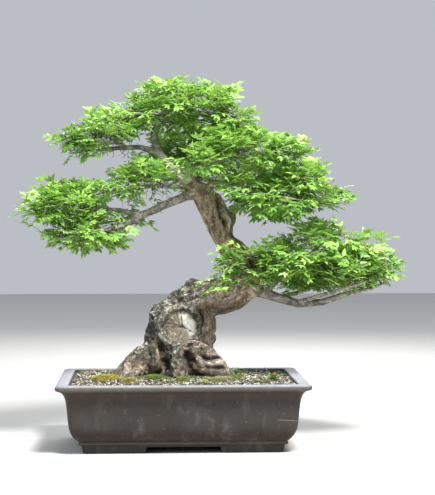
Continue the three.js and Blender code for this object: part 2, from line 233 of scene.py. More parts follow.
def tube(points, radii, sides, first=0):
    """A closed tube through the points, as (points, faces), with its points numbered from first."""
    points, radii = np.asarray(points, float), np.asarray(radii, float)
    along = unit(np.gradient(points, axis=0))
    across = np.cross(along[0], (0.31, 0.52, 0.79))
    rings = []
    angles = np.arange(sides) * 2 * math.pi / sides
    for centre, radius, tangent in zip(points, radii, along):
        across = unit(across - tangent * across.dot(tangent))
        up = np.cross(tangent, across)
        rings.append(centre + radius * (np.outer(np.cos(angles), across) + np.outer(np.sin(angles), up)))
    ends = [points[0] - along[0] * radii[0] * 0.5, points[-1] + along[-1] * radii[-1]]
    shifted = [[v + first for v in face] for face in ring_faces(len(points), sides)]
    return np.vstack(rings + [ends]), shifted


# ---- Node trees ----


class Number:
    """A value inside a node tree. Arithmetic on it adds Math nodes."""

    def __init__(self, nodes, socket):
        self.nodes = nodes
        self.socket = socket

    def other(self, name):
        """Another output of the same node."""
        return Number(self.nodes, self.socket.node.outputs[name])

    def part(self, axis):
        """A vector's X, Y or Z."""
        return self.nodes.add("ShaderNodeSeparateXYZ", inputs={0: self}, output=axis)

    def math(self, operation, *values):
        return self.nodes.add("ShaderNodeMath", {"operation": operation}, dict(enumerate(values)))

    def __add__(self, value):
        return self.math("ADD", self, value)

    def __sub__(self, value):
        return self.math("SUBTRACT", self, value)

    def __rsub__(self, value):
        return self.math("SUBTRACT", value, self)

    def __mul__(self, value):
        return self.math("MULTIPLY", self, value)

    def __truediv__(self, value):
        return self.math("DIVIDE", self, value)

    __radd__ = __add__
    __rmul__ = __mul__

    def between(self, low, high):
        """0 below low and 1 above high, with a smooth step from one to the other. Low may be the larger."""
        ends = {1: min(low, high), 2: max(low, high)}
        step = self.nodes.add("ShaderNodeMapRange", {"interpolation_type": "SMOOTHSTEP"}, {0: self, **ends})
        return step if low < high else 1 - step


class Nodes:
    """Adds nodes to one tree."""

    def __init__(self, tree, owner=None):
        self.tree = tree
        self.owner = owner
        self.tree.nodes.clear()

    def add(self, kind, settings=None, inputs=None, output=0):
        """A node's output, after its settings are made and its inputs are given values or links."""
        node = self.tree.nodes.new(kind)
        for key, value in (settings or {}).items():
            if key == "stops":
                self.set_stops(node.color_ramp, value)
            else:
                setattr(node, key, value)
        for key, value in (inputs or {}).items():
            if isinstance(value, Number):
                self.tree.links.new(value.socket, node.inputs[key])
            else:
                node.inputs[key].default_value = value
        return Number(self, node.outputs[output] if node.outputs else None)

    @staticmethod
    def set_stops(ramp, stops):
        while len(ramp.elements) < len(stops):
            ramp.elements.new(1.0)
        for element, (position, colour) in zip(ramp.elements, stops):
            element.position = position
            element.color = (*colour, 1.0)

    def coordinates(self):
        """Object coordinates, in metres."""
        return self.add("ShaderNodeTexCoord", output="Object")

    def normal(self):
        return self.add("ShaderNodeNewGeometry", output="Normal")

    def attribute(self, name, output="Fac"):
        return self.add("ShaderNodeAttribute", {"attribute_name": name}, output=output)

    def vector(self, operation, *values, output=0):
        return self.add("ShaderNodeVectorMath", {"operation": operation}, dict(enumerate(values)), output)

    def noise(self, size, detail=3.0, roughness=0.55, distortion=0.0, stretch=(1, 1, 1), shift=0.0):
        """Noise from 0 to 1 with features of about that many millimetres."""
        scale = tuple(1.0 / s for s in stretch)
        moved = self.vector("MULTIPLY_ADD", self.coordinates(), scale, (shift, shift, shift))
        grain = {"Detail": detail, "Roughness": roughness, "Distortion": distortion}
        return self.add("ShaderNodeTexNoise", inputs={"Vector": moved, "Scale": 1 / (size * MM), **grain})

    def cells(self, size, feature="F1"):
        """Distance in Voronoi cells of about that many millimetres."""
        inputs = {"Vector": self.coordinates(), "Scale": 1 / (size * MM)}
        return self.add("ShaderNodeTexVoronoi", {"feature": feature}, inputs, "Distance")

    def mix(self, share, first, second, blend="MIX"):
        """A colour between two colours."""
        settings = {"data_type": "RGBA", "blend_type": blend, "clamp_factor": True}
        first, second = (c if isinstance(c, Number) else (*c, 1.0) for c in (first, second))
        return self.add("ShaderNodeMix", settings, {0: share, 6: first, 7: second}, 2)

    def layers(self, under, *layers):
        """A colour with further ones laid over it in turn, each as (share, colour)."""
        for share, over in layers:
            under = self.mix(share, under, over)
        return under

    def ramp(self, value, stops):
        """The colour at that value, from stops of (position, colour)."""
        return self.add("ShaderNodeValToRGB", {"stops": stops}, {0: value})

    def off_line(self, start, end):
        """How far the front lies from a line between two spots (x, height), in millimetres."""
        start, end = (Vector(place((x, 0, z))) for x, z in (start, end))
        run = end - start
        start.y = 0
        away = self.vector("SUBTRACT", self.vector("MULTIPLY", self.coordinates(), (1, 0, 1)), start)
        share = self.vector("DOT_PRODUCT", away, run, output="Value") / run.length_squared
        share = share.math("MINIMUM", share.math("MAXIMUM", share, 0.0), 1.0)
        nearest = self.add("ShaderNodeVectorMath", {"operation": "SCALE"}, {0: run, "Scale": share})
        return self.vector("DISTANCE", away, nearest, output="Value") / MM

    def bump(self, height, distance_mm, strength=1.0, normal=None):
        inputs = {"Height": height, "Distance": distance_mm * MM, "Strength": strength}
        if normal is not None:
            inputs["Normal"] = normal
        return self.add("ShaderNodeBump", inputs=inputs)

    def surface(self, **inputs):
        """A Principled shader, with underscores in its inputs' names for spaces."""
        sockets = {key.replace("_", " "): value for key, value in inputs.items()}
        return self.add("ShaderNodeBsdfPrincipled", inputs=sockets)

    def finish(self, shader):
        self.add("ShaderNodeOutputMaterial", inputs={"Surface": shader})
        return self.owner

    def paint(self, **inputs):
        """Ends a material with one Principled shader."""
        return self.finish(self.surface(**inputs))

    def blade(self, share, through, **inputs):
        """Ends a material whose surface also lets a share of light through in that colour."""
        glow = self.add("ShaderNodeBsdfTranslucent", inputs={"Color": (*through, 1.0)})
        shine = self.surface(**inputs)
        return self.finish(self.add("ShaderNodeMixShader", inputs={0: share, 1: shine, 2: glow}))

    def random(self, low, high, seed, kind="FLOAT"):
        """A random value at each point of a geometry tree."""
        first, output = {"FLOAT_VECTOR": (0, 0), "FLOAT": (2, 1), "INT": (4, 2)}[kind]
        inputs = {first: low, first + 1: high, "Seed": seed}
        return self.add("FunctionNodeRandomValue", {"data_type": kind}, inputs, output)

    def named(self, kind, name):
        """A named attribute of a geometry tree's points."""
        return self.add("GeometryNodeInputNamedAttribute", {"data_type": kind}, {"Name": name})

    def instances(self, points, group, number, turn, size):
        """One of the collection's objects on each point, picked by number."""
        whole = {"Collection": group, "Separate Children": True, "Reset Children": True}
        picked = self.add("GeometryNodeCollectionInfo", {"transform_space": "ORIGINAL"}, whole)
        pick = {"Points": points, "Instance": picked, "Pick Instance": True, "Instance Index": number}
        return self.add("GeometryNodeInstanceOnPoints", inputs={**pick, "Rotation": turn, "Scale": size})

    def realize(self, geometry, material):
        """Ends a geometry tree with real geometry in that material."""
        real = self.add("GeometryNodeRealizeInstances", inputs={0: geometry})
        dressed = self.add("GeometryNodeSetMaterial", inputs={"Geometry": real, "Material": material})
        self.add("NodeGroupOutput", inputs={0: dressed})


def new_material(name):
    """A new material's nodes. Whatever ends them gives the material."""
    material = bpy.data.materials.new(name)
    material.use_nodes = True
    return Nodes(material.node_tree, material)


def new_geometry_tree(name, inputs):
    """A geometry tree with a Geometry input and these named inputs: (name, socket type, default)."""
    tree = bpy.data.node_groups.new(name, "GeometryNodeTree")
    tree.interface.new_socket("Geometry", in_out="INPUT", socket_type="NodeSocketGeometry")
    for label, kind, default in inputs:
        socket = tree.interface.new_socket(label, in_out="INPUT", socket_type=kind)
        if default is not None:
            socket.default_value = default
    tree.interface.new_socket("Geometry", in_out="OUTPUT", socket_type="NodeSocketGeometry")
    nodes = Nodes(tree)
    return tree, nodes, nodes.add("NodeGroupInput")


def run_geometry_tree(obj, tree, values):
    """The mesh that the tree makes of the object, whose own mesh is spent."""
    modifier = obj.modifiers.new("Nodes", "NODES")
    modifier.node_group = tree
    sockets = {s.name: s.identifier for s in tree.interface.items_tree if s.in_out == "INPUT"}
    for label, value in values.items():
        modifier[sockets[label]] = value
    return evaluated(obj)


# ---- Settings ----


def colour(name, description, value):
    return FloatVectorProperty(
        name=name, description=description, default=value, size=3, subtype="COLOR", min=0, max=1
    )


def length(name, description, millimetres):
    return FloatProperty(name=name, description=description, default=millimetres * MM, unit="LENGTH")


class PotSettings(PropertyGroup):
    clay: colour("Clay", "Colour of the fired body", (0.0255, 0.0235, 0.0220))
    iron: colour("Iron", "Redder colour where the clay fired hotter", (0.037, 0.0215, 0.0145))
    # Also carries a painted highlight on the rim's up-facing top.
    bloom: colour("Bloom", "Pale mineral bloom on the rim", (0.27, 0.295, 0.34))
    facet: length("Facet", "Longest face along a side", 9)
    edge: length("Edge", "Width of the worn edges", 1.0)


class SoilSettings(PropertyGroup):
    grain_size: length("Grain size", "Middle size of the grit", 3.6)
    grain_count: IntProperty(name="Grains", description="Grains for each square metre", default=52000)
    earth: colour("Earth", "Colour of the soil below the grit", (0.042, 0.034, 0.024))
    seed: IntProperty(name="Seed", description="Places of the grit", default=4)


class BarkSettings(PropertyGroup):
    voxel: length("Voxel", "Size of the wood's faces", 2.25)
    relief: FloatProperty(name="Relief", description="Depth of the bark, as a share", default=1.0)
    dark: colour("Dark bark", "Colour of old bark in the shade", (0.024, 0.026, 0.020))
    tan: colour("Tan bark", "Colour of sheltered bark", (0.335, 0.265, 0.160))
    pale: colour("Pale crust", "Colour of dead bark and bare wood", (0.62, 0.58, 0.50))


class LeafSettings(PropertyGroup):
    leaf_length: length("Leaf length", "Length of a compound leaf", 41)
    twig_step: length("Twig step", "Length of a twig between its nodes", 9)
    crowding: FloatProperty(name="Crowding", description="Twig tips for each litre of foliage", default=105)
    young: colour("Young leaf", "Colour of the newest leaves", (0.440, 0.675, 0.170))
    grown: colour("Grown leaf", "Colour of a grown leaf", (0.275, 0.515, 0.110))
    # Also the colour of the innermost and lowest leaves, as painted shade.
    old: colour("Old leaf", "Colour of the oldest leaves", (0.055, 0.180, 0.032))
    seed: IntProperty(name="Seed", description="Growth of the twigs", default=7)


class CoverSettings(PropertyGroup):
    blade: length("Moss blade", "Height of a moss blade", 3.2)
    seed: IntProperty(name="Seed", description="Places of the blades", default=11)


SETTINGS = {
    "pot": PotSettings,
    "soil": SoilSettings,
    "bark": BarkSettings,
    "leaf": LeafSettings,
    "cover": CoverSettings,
}


class BonsaiSettings(PropertyGroup):
    pot: PointerProperty(type=PotSettings)
    soil: PointerProperty(type=SoilSettings)
    bark: PointerProperty(type=BarkSettings)
    leaf: PointerProperty(type=LeafSettings)
    cover: PointerProperty(type=CoverSettings)


def settings():
    return bpy.context.scene.bonsai


# ---- Pot ----

FOOT_HEIGHT = 13
FLOOR_TOP = 25
RIM_WIDTH = 25
FOOT_INSET = 52
FOOT_BAND = 20
FRONT_NOTCH = 154
SIDE_NOTCH = 90
NOTCH_SLOPE = 5
DRAIN_RADIUS = 15
DRAIN_SPACING = 240
CUTTER_LENGTH = 30  # of what cuts a drain hole
CORNER_STEPS = 6
RIM_CORNER, WALL_CORNER = 12, 9  # radii seen from above
CRACK = (((173, 110), (186, 90)), ((186, 90), (185, 70)))  # a hairline in the front, as (x, height) pairs
SCRATCH = ((184, 68), (228, 66))
SHEEN_PATCH = ((2, 94), (92, 34))  # the middle of a pale patch painted on the front as a highlight


def pot_ring(inset, z, radius, facet):
    """A rounded rectangle drawn in from the rim, with faces no longer than facet, all in millimetres."""
    half = [POT_SIZE.x / 2 - inset, POT_SIZE.y / 2 - inset]

    def corner_point(corner, share):
        sign = (1 if corner in (0, 3) else -1, 1 if corner < 2 else -1)
        angle = (corner + share) * math.pi / 2
        x = sign[0] * (half[0] - radius) + radius * math.cos(angle)
        y = sign[1] * (half[1] - radius) + radius * math.sin(angle)
        return np.array((x, y, z))

    points = []
    for corner in range(4):
        points += [corner_point(corner, i / CORNER_STEPS) for i in range(CORNER_STEPS + 1)]
        straight = int(POT_SIZE[corner % 2] / facet)
        start, end = points[-1], corner_point((corner + 1) % 4, 0)
        points += [start + (end - start) * k / straight for k in range(1, straight)]
    return np.array(points)


def rounded(profile, steps):
    """The profile's points joined by a smooth curve through them."""
    profile = np.array(profile, float)
    padded = np.vstack([2 * profile[0] - profile[1], profile, 2 * profile[-1] - profile[-2]])
    curve = []
    for a, b, c, d in zip(padded, padded[1:], padded[2:], padded[3:]):
        square, cube = 2 * a - 5 * b + 4 * c - d, 3 * b - a - 3 * c + d
        for t in np.arange(steps) / steps:
            curve.append(0.5 * (2 * b + (c - a) * t + square * t**2 + cube * t**3))
    curve.append(profile[-1])
    return [tuple(p) for p in curve]


def pot_profile():
    """The pot's section from the middle of its underside, over the rim, to the middle of its floor."""
    height = POT_SIZE.z
    rim_foot = height - 12
    base = [(42.6, 25), (39.4, 28), (35.8, 32), (31.6, 38), (28.4, 45), (25.6, 55)]
    wall = [(23.4, 72), (21.6, 92), (19.4, 108)]
    underside = [(FOOT_INSET + FOOT_BAND, FOOT_HEIGHT), (FOOT_INSET + FOOT_BAND, 1.2)]
    foot = [(FOOT_INSET + FOOT_BAND - 1.2, 0), (FOOT_INSET + 1.2, 0), (FOOT_INSET, 1.2)]
    step = [(49.3, 15.2), (48.4, 16.4), (44.6, 17), (43.2, 18.2)]
    bead = [(42.9, 20), (43.4, 21.6), (45.2, 22.4), (45, 23.4)]
    lip = [
        (17.4, rim_foot - 11.5),
        (14.6, rim_foot - 6),
        (11.2, rim_foot - 2.2),
        (6.8, rim_foot + 0.2),
        (3.4, rim_foot + 1.3),
        (1.5, rim_foot + 2.2),
        (0.6, rim_foot + 3.2),
        (0, rim_foot + 4.6),
        (0, height - 5),
        (0.5, height - 2.6),
        (2, height - 0.8),
        (4.2, height),
    ]
    inside = [
        (RIM_WIDTH - 3.2, height),
        (RIM_WIDTH - 1.2, height - 0.8),
        (RIM_WIDTH, height - 3),
        (RIM_WIDTH + 0.6, height - 9),
        (RIM_WIDTH + 2.6, height - 24),
        (36, 70),
        (41, 44),
        (46, 34),
        (56, FLOOR_TOP),
    ]
    return underside + foot + step + bead + rounded(base + wall, 2) + lip + inside


def make_pot():
    facet = settings().pot.facet / MM
    rings = [
        pot_ring(inset, z, RIM_CORNER if inset < RIM_WIDTH else WALL_CORNER, facet)
        for inset, z in pot_profile()
    ]
    points = np.vstack([*rings, [(0, 0, FOOT_HEIGHT), (0, 0, FLOOR_TOP)]])
    faces = ring_faces(len(rings), len(rings[0]))
    # Hand-pressed walls are never quite flat.
    wobble = lumps(points, 150, 2)[:, None] * unit(points * (1, 1, 0)) * 0.9
    standing = smoothstep(FOOT_HEIGHT, 40, points[:, 2])[:, None]
    points = points + wobble * standing
    pot = new_object("pot_body", new_mesh("pot_body", place(points), faces))
    cut_pot(pot)
    bevel = pot.modifiers.new("Bevel", "BEVEL")
    bevel.width = settings().pot.edge
    bevel.segments = 2
    bevel.limit_method = "ANGLE"
    bevel.angle_limit = math.radians(50)
    mesh = evaluated(pot)
    mesh.shade_smooth()
    mesh.set_sharp_from_angle(angle=math.radians(40))
    mesh.materials.clear()
    mesh.materials.append(ceramic())
    finish_piece(new_object("pot_body", mesh), "stoneware", "pot")


def pot_cutters():
    """Shapes for the ways between the feet and for the drain holes."""
    cutters = []
    for notch, through, turned in ((FRONT_NOTCH, POT_SIZE.y, 0), (SIDE_NOTCH, POT_SIZE.x, math.pi / 2)):
        shape = bmesh.new()
        for vertex in bmesh.ops.create_cube(shape, size=1)["verts"]:
            raised = vertex.co.z > 0
            width = notch - (2 * NOTCH_SLOPE if raised else 0)
            height = FOOT_HEIGHT - 0.05 if raised else -1
            spot = Vector((vertex.co.x * width, vertex.co.y * through, height))
            vertex.co = FOOT_MIDDLE + Matrix.Rotation(turned, 3, "Z") @ spot * MM
        cutters.append(shape)
    for side in (-1, 1):
        shape = bmesh.new()
        spot = FOOT_MIDDLE + Vector((side * DRAIN_SPACING / 2, 0, (FOOT_HEIGHT + FLOOR_TOP) / 2)) * MM
        bmesh.ops.create_cone(
            shape,
            cap_ends=True,
            segments=32,
            radius1=DRAIN_RADIUS * MM,
            radius2=DRAIN_RADIUS * MM,
            depth=CUTTER_LENGTH * MM,
            matrix=Matrix.Translation(spot),
        )
        cutters.append(shape)
    return cutters


def cut_pot(pot):
    """Cuts the ways between the feet and the drain holes."""
    for shape in pot_cutters():
        tool = new_object("pot_cutter", mesh_of("pot_cutter", shape))
        cut = pot.modifiers.new("Cut", "BOOLEAN")
        cut.object = tool
        cut.operation = "DIFFERENCE"
        cut.solver = "MANIFOLD"
        result = evaluated(pot, remove=False)
        pot.modifiers.remove(cut)
        pot.data = result
        bpy.data.objects.remove(tool)


def ceramic():
    """Unglazed stoneware: iron spots, a redder lip and base, and a pale bloom on the rim, laid on where the
    rim faces up, partly as a painted highlight.
    """
    nodes = new_material("stoneware")
    own = settings().pot
    height = nodes.coordinates().part("Z") / MM
    up = nodes.normal().part("Z")
    front = nodes.normal().part("Y").between(-0.4, -0.8)
    cloud = nodes.noise(60, 4, 0.6, 0.4)
    fine = nodes.noise(3.5, 4, 0.7)
    streak = nodes.noise(26, 4, 0.6, 0.3, stretch=(1, 1, 3.2))
    broad = nodes.noise(150, 3, 0.55, 0.5, shift=7)
    reddish = height.between(96, 116) + height.between(60, 30) + cloud.between(0.54, 0.7) * 0.5
    spots = nodes.cells(5.5).between(0.22, 0.1) * nodes.noise(18, 2).between(0.52, 0.64)
    flecks = nodes.cells(8.5).between(0.11, 0.05) * nodes.noise(30, 2, shift=3).between(0.5, 0.62)
    scuffed = nodes.noise(9, 5, 0.75, 1.2, shift=5).between(0.6, 0.72) * height.between(132, 100)
    # A pale patch on the front faces: a painted highlight.
    sheen = nodes.off_line(*SHEEN_PATCH).between(24, 4)
    sheen = sheen * nodes.noise(24, 4, 0.6, 0.8, shift=17).between(0.42, 0.68) * front
    wavy = (nodes.noise(12, 3, shift=18) - 0.5) * 5
    cracks = [(nodes.off_line(*ends) + wavy).between(1.1, 0.35) * front * 0.8 for ends in CRACK]
    scratch = (nodes.off_line(*SCRATCH) + wavy * 0.3).between(1.5, 0.5) * front
    # The rim's up-facing top: a real pale bloom, and partly a painted highlight.
    top = up.between(0.35, 0.85) * height.between(120, 130)
    patchy = nodes.noise(14, 5, 0.65, 0.6).between(0.3, 0.66)
    grime = nodes.noise(5, 4, 0.7, shift=2).between(0.56, 0.7)
    body = nodes.layers(
        nodes.mix(broad.between(0.4, 0.62), own.clay, (0.0320, 0.0298, 0.0280)),
        (nodes.noise(90, 4, 0.6, 0.8, shift=25).between(0.5, 0.64) * 0.45, (0.034, 0.022, 0.0160)),
        (reddish * 0.85, own.iron),
        ((height + (cloud - 0.5) * 50).between(60, 28) * 0.9, (0.0155, 0.0085, 0.0055)),
        (height.between(18, 14) * 0.8, (0.016, 0.0175, 0.015)),
        # A pale line on the bead above the foot: a painted highlight.
        (height.between(25, 23) * height.between(19, 21) * 0.7, (0.115, 0.105, 0.094)),
        (streak.between(0.52, 0.74) * 0.45, (0.085, 0.080, 0.077)),
        (streak.between(0.46, 0.3) * 0.5, (0.027, 0.023, 0.020)),
        (spots * 0.6, (0.018, 0.014, 0.012)),
        (flecks * 0.7, (0.33, 0.29, 0.24)),
        (scuffed * 0.35, (0.24, 0.21, 0.19)),
        # Painted highlight on the front.
        (sheen * 0.2, (0.20, 0.19, 0.18)),
        *((crack, (0.010, 0.009, 0.008)) for crack in cracks),
        (scratch * 0.5, (0.17, 0.16, 0.15)),
        # Bloom and painted highlight on the rim's top.
        (top * (patchy * 0.35 + 0.55), nodes.mix(grime * 0.75, own.bloom, (0.10, 0.09, 0.08))),
        # A pale band round the rim's upper edge: a painted highlight on the rolled lip.
        (height.between(124, 128) * (1 - top) * 0.35, (0.150, 0.150, 0.150)),
    )
    roughness = 0.42 + fine * 0.2 + top * 0.15
    shape = nodes.bump(fine * 0.6 + nodes.noise(1.3, 3, shift=4) * 0.4, 0.35, 0.6)
    shape = nodes.bump(streak, 0.9, 0.35, shape)
    return nodes.paint(Base_Color=body, Roughness=roughness, Specular_IOR_Level=0.28, Normal=shape)


# ---- Drain screens ----


def screen_plastic():
    nodes = new_material("screen_plastic")
    fine = nodes.noise(2.5, 3)
    tint = nodes.mix(fine.between(0.35, 0.7) * 0.6, (0.012, 0.060, 0.022), (0.030, 0.095, 0.040))
    return nodes.paint(Base_Color=tint, Roughness=0.45 + fine * 0.25, Normal=nodes.bump(fine, 0.15, 0.5))


def make_screens():
    plastic = screen_plastic()
    for node in SCREEN_NODES:
        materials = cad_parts[node].data.materials
        materials.clear()
        materials.append(plastic)


# ---- Soil ----

TOP_DEPTH = 12  # how far below the rim the soil's open top reaches
TOP_SLOPE = 0.8  # least upward part of the normal of a face of the top
TOP_FACE = 4.5  # longest edge of the broken top
KINDS = 4  # of grains, bits and blades
BITS = 7000.0  # of litter for each square metre
BED_STEP = 5  # spacing of the grid that grit and moss are scattered over


def shown_soil(shape):
    """The faces of the soil's open top, and their edges."""
    low = POT_HIGH.z - TOP_DEPTH * MM
    top = [f for f in shape.faces if f.normal.z > TOP_SLOPE and f.calc_center_median().z > low]
    return top, list({e for f in top for e in f.edges})


def make_soil():
    """The soil body: the CAD solid with a finely broken top."""
    shape = cad_shape(["soil"])
    top, edges = shown_soil(shape)
    for _ in range(6):
        long_edges = [e for e in edges if e.calc_length() > TOP_FACE * MM]
        if not long_edges:
            break
        bmesh.ops.subdivide_edges(shape, edges=long_edges, cuts=1, use_grid_fill=False)
        bmesh.ops.triangulate(shape, faces=[f for f in shape.faces if len(f.verts) > 3])
        top, edges = shown_soil(shape)
    inner = {v for f in top for v in f.verts if all(g.normal.z > TOP_SLOPE for g in v.link_faces)}
    spots = from_pot([v.co for v in inner])
    relief = lumps(spots, 28, 4) * 1.6 + lumps(spots, 7, 3, 5) * 1.1
    for vertex, rise in zip(inner, relief):
        vertex.co.z += (rise - 0.9) * MM
    mesh = mesh_of("soil_bed", shape)
    mesh.shade_smooth()
    mesh.materials.append(earth())
    finish_piece(new_object("soil_bed", mesh), "soil", "soil")
    make_grit()
    make_litter()


def earth():
    nodes = new_material("earth")
    coarse, fine = nodes.noise(16, 4, 0.6), nodes.noise(2.2, 4, 0.7)
    tint = nodes.layers(
        nodes.mix(coarse.between(0.35, 0.7), settings().soil.earth, (0.150, 0.118, 0.076)),
        (fine.between(0.55, 0.75) * 0.7, (0.26, 0.22, 0.16)),
        (fine.between(0.45, 0.3) * 0.7, (0.020, 0.016, 0.011)),
    )
    return nodes.paint(Base_Color=tint, Roughness=0.95, Normal=nodes.bump(fine + coarse * 0.5, 1.6, 0.9))


def pebble(name, seed):
    """One rough grain of unit size."""
    shape = bmesh.new()
    bmesh.ops.create_icosphere(shape, subdivisions=1, radius=0.5)
    draw = np.random.default_rng(seed)
    squash = draw.uniform(0.6, 1.0, 3)
    for vertex in shape.verts:
        vertex.co = Vector(vertex.co * Vector(squash)) * draw.uniform(0.82, 1.12)
    return new_object(name, mesh_of(name, shape))


def scatter_tree(name, material):
    """Scatters instances of a collection over a surface, with their size, turn and tint at random."""
    inputs = (
        ("Grains", "NodeSocketCollection", None),
        ("Density", "NodeSocketFloat", 1000.0),
        ("Smallest", "NodeSocketFloat", 0.5),
        ("Largest", "NodeSocketFloat", 1.5),
        ("Lean", "NodeSocketFloat", math.pi),
        ("Seed", "NodeSocketInt", 1),
    )
    tree, nodes, given = new_geometry_tree(name, inputs)
    seed, lean = given.other("Seed"), given.other("Lean")
    density = given.other("Density") * nodes.named("FLOAT", "cover")
    spread_out = nodes.add(
        "GeometryNodeDistributePointsOnFaces",
        {"distribute_method": "RANDOM"},
        {"Mesh": given, "Density": density, "Seed": seed},
    )
    size = nodes.random(given.other("Smallest"), given.other("Largest"), seed + 1)
    low = nodes.add("ShaderNodeCombineXYZ", inputs={0: lean * -1, 1: lean * -1, 2: -math.pi})
    high = nodes.add("ShaderNodeCombineXYZ", inputs={0: lean, 1: lean, 2: math.pi})
    angles = nodes.random(low, high, seed + 2, "FLOAT_VECTOR")
    turn = nodes.add("FunctionNodeEulerToRotation", inputs={0: angles})
    on_face = {0: spread_out.other("Rotation"), 1: turn}
    aligned = nodes.add("FunctionNodeRotateRotation", {"rotation_space": "LOCAL"}, on_face)
    number = nodes.random(0, KINDS - 1, seed + 3, "INT")
    placed = nodes.instances(spread_out, given.other("Grains"), number, aligned, size)
    stored = nodes.add(
        "GeometryNodeStoreNamedAttribute",
        {"data_type": "FLOAT", "domain": "INSTANCE"},
        {"Geometry": placed, "Name": "tint", "Value": nodes.random(0.0, 1.0, seed + 4)},
    )
    nodes.realize(stored, material)
    return tree


def scatter(name, bed, material, grains, density, sizes, lean, seed):
    """A mesh of the objects, scattered over the bed. Sizes are the smallest and the largest."""
    values = {"Grains": grains, "Density": density, "Smallest": sizes[0], "Largest": sizes[1]}
    return run_geometry_tree(bed, scatter_tree(name, material), {**values, "Lean": lean, "Seed": seed})


def lifted(mesh, height):
    """The mesh, moved up by that many millimetres."""
    for vertex in mesh.vertices:
        vertex.co.z += height * MM
    return mesh


def collection_of(name, objects):
    group = bpy.data.collections.new(name)
    for obj in objects:
        group.objects.link(obj)
    return group


def drop(objects):
    for obj in objects:
        bpy.data.objects.remove(obj)


def top_patch(name, cover):
    """The soil's open top as a grid, with a weight from cover(spots) at each of its points."""
    soil = cad_tree("soil")
    low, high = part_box("soil")
    step = BED_STEP * MM
    across = np.arange(low.x + step, high.x - step / 2, step)
    along = np.arange(low.y + step, high.y - step / 2, step)
    points, index = [], {}
    for i, x in enumerate(across):
        for j, y in enumerate(along):
            hit = soil.ray_cast(Vector((x, y, high.z + 50 * MM)), Vector((0, 0, -1)))[0]
            if hit is not None and hit.z > POT_HIGH.z - (TOP_DEPTH + 2) * MM:
                index[i, j] = len(points)
                points.append(tuple(hit))
    squares = [((i, j), (i + 1, j), (i + 1, j + 1), (i, j + 1)) for i, j in index]
    faces = [[index[k] for k in square] for square in squares if all(k in index for k in square)]
    return new_object(name, new_mesh(name, points, faces, cover=cover(from_pot(points))))


def make_grit():
    own = settings().soil
    grains = [pebble(f"grain_{i}", own.seed + i) for i in range(KINDS)]
    bed = top_patch("grit_bed", lambda spots: 0.5 + smoothstep(-0.4, 0.4, lumps(spots, 60, 3, 9)))
    sizes = (own.grain_size * 0.4, own.grain_size * 1.75)
    group = collection_of("grains", grains)
    mesh = scatter("grit", bed, grit(), group, float(own.grain_count), sizes, math.pi, own.seed)
    drop(grains)
    finish_piece(new_object("grit", mesh), "soil")


def make_litter():
    """Dry bits of leaf and bark on the grit."""
    bits = []
    for i, (width, droop) in enumerate(((0.2, 0.3), (0.32, -0.4), (0.14, 0.2), (0.4, 0.5))):
        points, faces, _ = leaflet(np.zeros(3), (1, 0, 0.1), 1.0, width, droop, 0.3)
        bits.append(new_object(f"bit_{i}", new_mesh(f"bit_{i}", points, faces)))
    bed = top_patch("litter_bed", lambda spots: smoothstep(-0.5, 0.6, lumps(spots, 45, 3, 21)))
    group, seed = collection_of("bits", bits), settings().soil.seed + 30
    mesh = scatter("litter", bed, litter(), group, BITS, (4 * MM, 11 * MM), 0.4, seed)
    drop(bits)
    finish_piece(new_object("litter", lifted(mesh, 1.6)), "soil")


def litter():
    nodes = new_material("litter")
    stops = [
        (0.0, (0.05, 0.032, 0.018)),
        (0.4, (0.20, 0.13, 0.06)),
        (0.75, (0.40, 0.34, 0.21)),
        (1.0, (0.60, 0.56, 0.44)),
    ]
    tint = nodes.ramp(nodes.attribute("tint"), stops)
    tint = nodes.mix(nodes.noise(2, 3).between(0.5, 0.7) * 0.5, tint, (0.07, 0.045, 0.025))
    return nodes.paint(Base_Color=tint, Roughness=0.8)


def grit():
    """Pumice, baked clay and lava grains."""
    nodes = new_material("grit")
    stops = [
        (0.0, (0.016, 0.014, 0.010)),
        (0.28, (0.040, 0.036, 0.027)),
        (0.52, (0.110, 0.106, 0.084)),
        (0.70, (0.280, 0.278, 0.245)),
        (0.86, (0.640, 0.640, 0.600)),
        (1.0, (0.205, 0.135, 0.080)),
    ]
    tint = nodes.ramp(nodes.attribute("tint"), stops)
    fine = nodes.noise(1.2, 3, 0.7)
    tint = nodes.mix(fine.between(0.4, 0.7) * 0.35, tint, (0.10, 0.09, 0.07))
    return nodes.paint(Base_Color=tint, Roughness=0.92, Normal=nodes.bump(fine, 0.5, 0.6))


# ---- Wood ----

SCAR = (-4, 242)  # middle of the old wound on the trunk's front, as x and height
SCAR_RADIUS = 32
SCAR_CRACKS = (
    ((-36, 243), (2, 241)),
    ((2, 241), (24, 230)),
    ((-3, 274), (0, 244)),
    ((-30, 226), (-36, 258)),
)
CREAM_STRIPS = (((50, 447), (60, 414)), ((74, 399), (82, 378)))  # the upper trunk's bark has split off here
KNOB = (158, 8, 337)  # a rusty knot on the right branch

SKIN = 0.4 * MM  # how deep a ray into the wood starts
THICKEST = 200 * MM
VOXEL_SWELL = 0.45 * MM  # what the remesh takes off
THIN_WOOD = 10  # greatest half thickness of wood that bears twigs

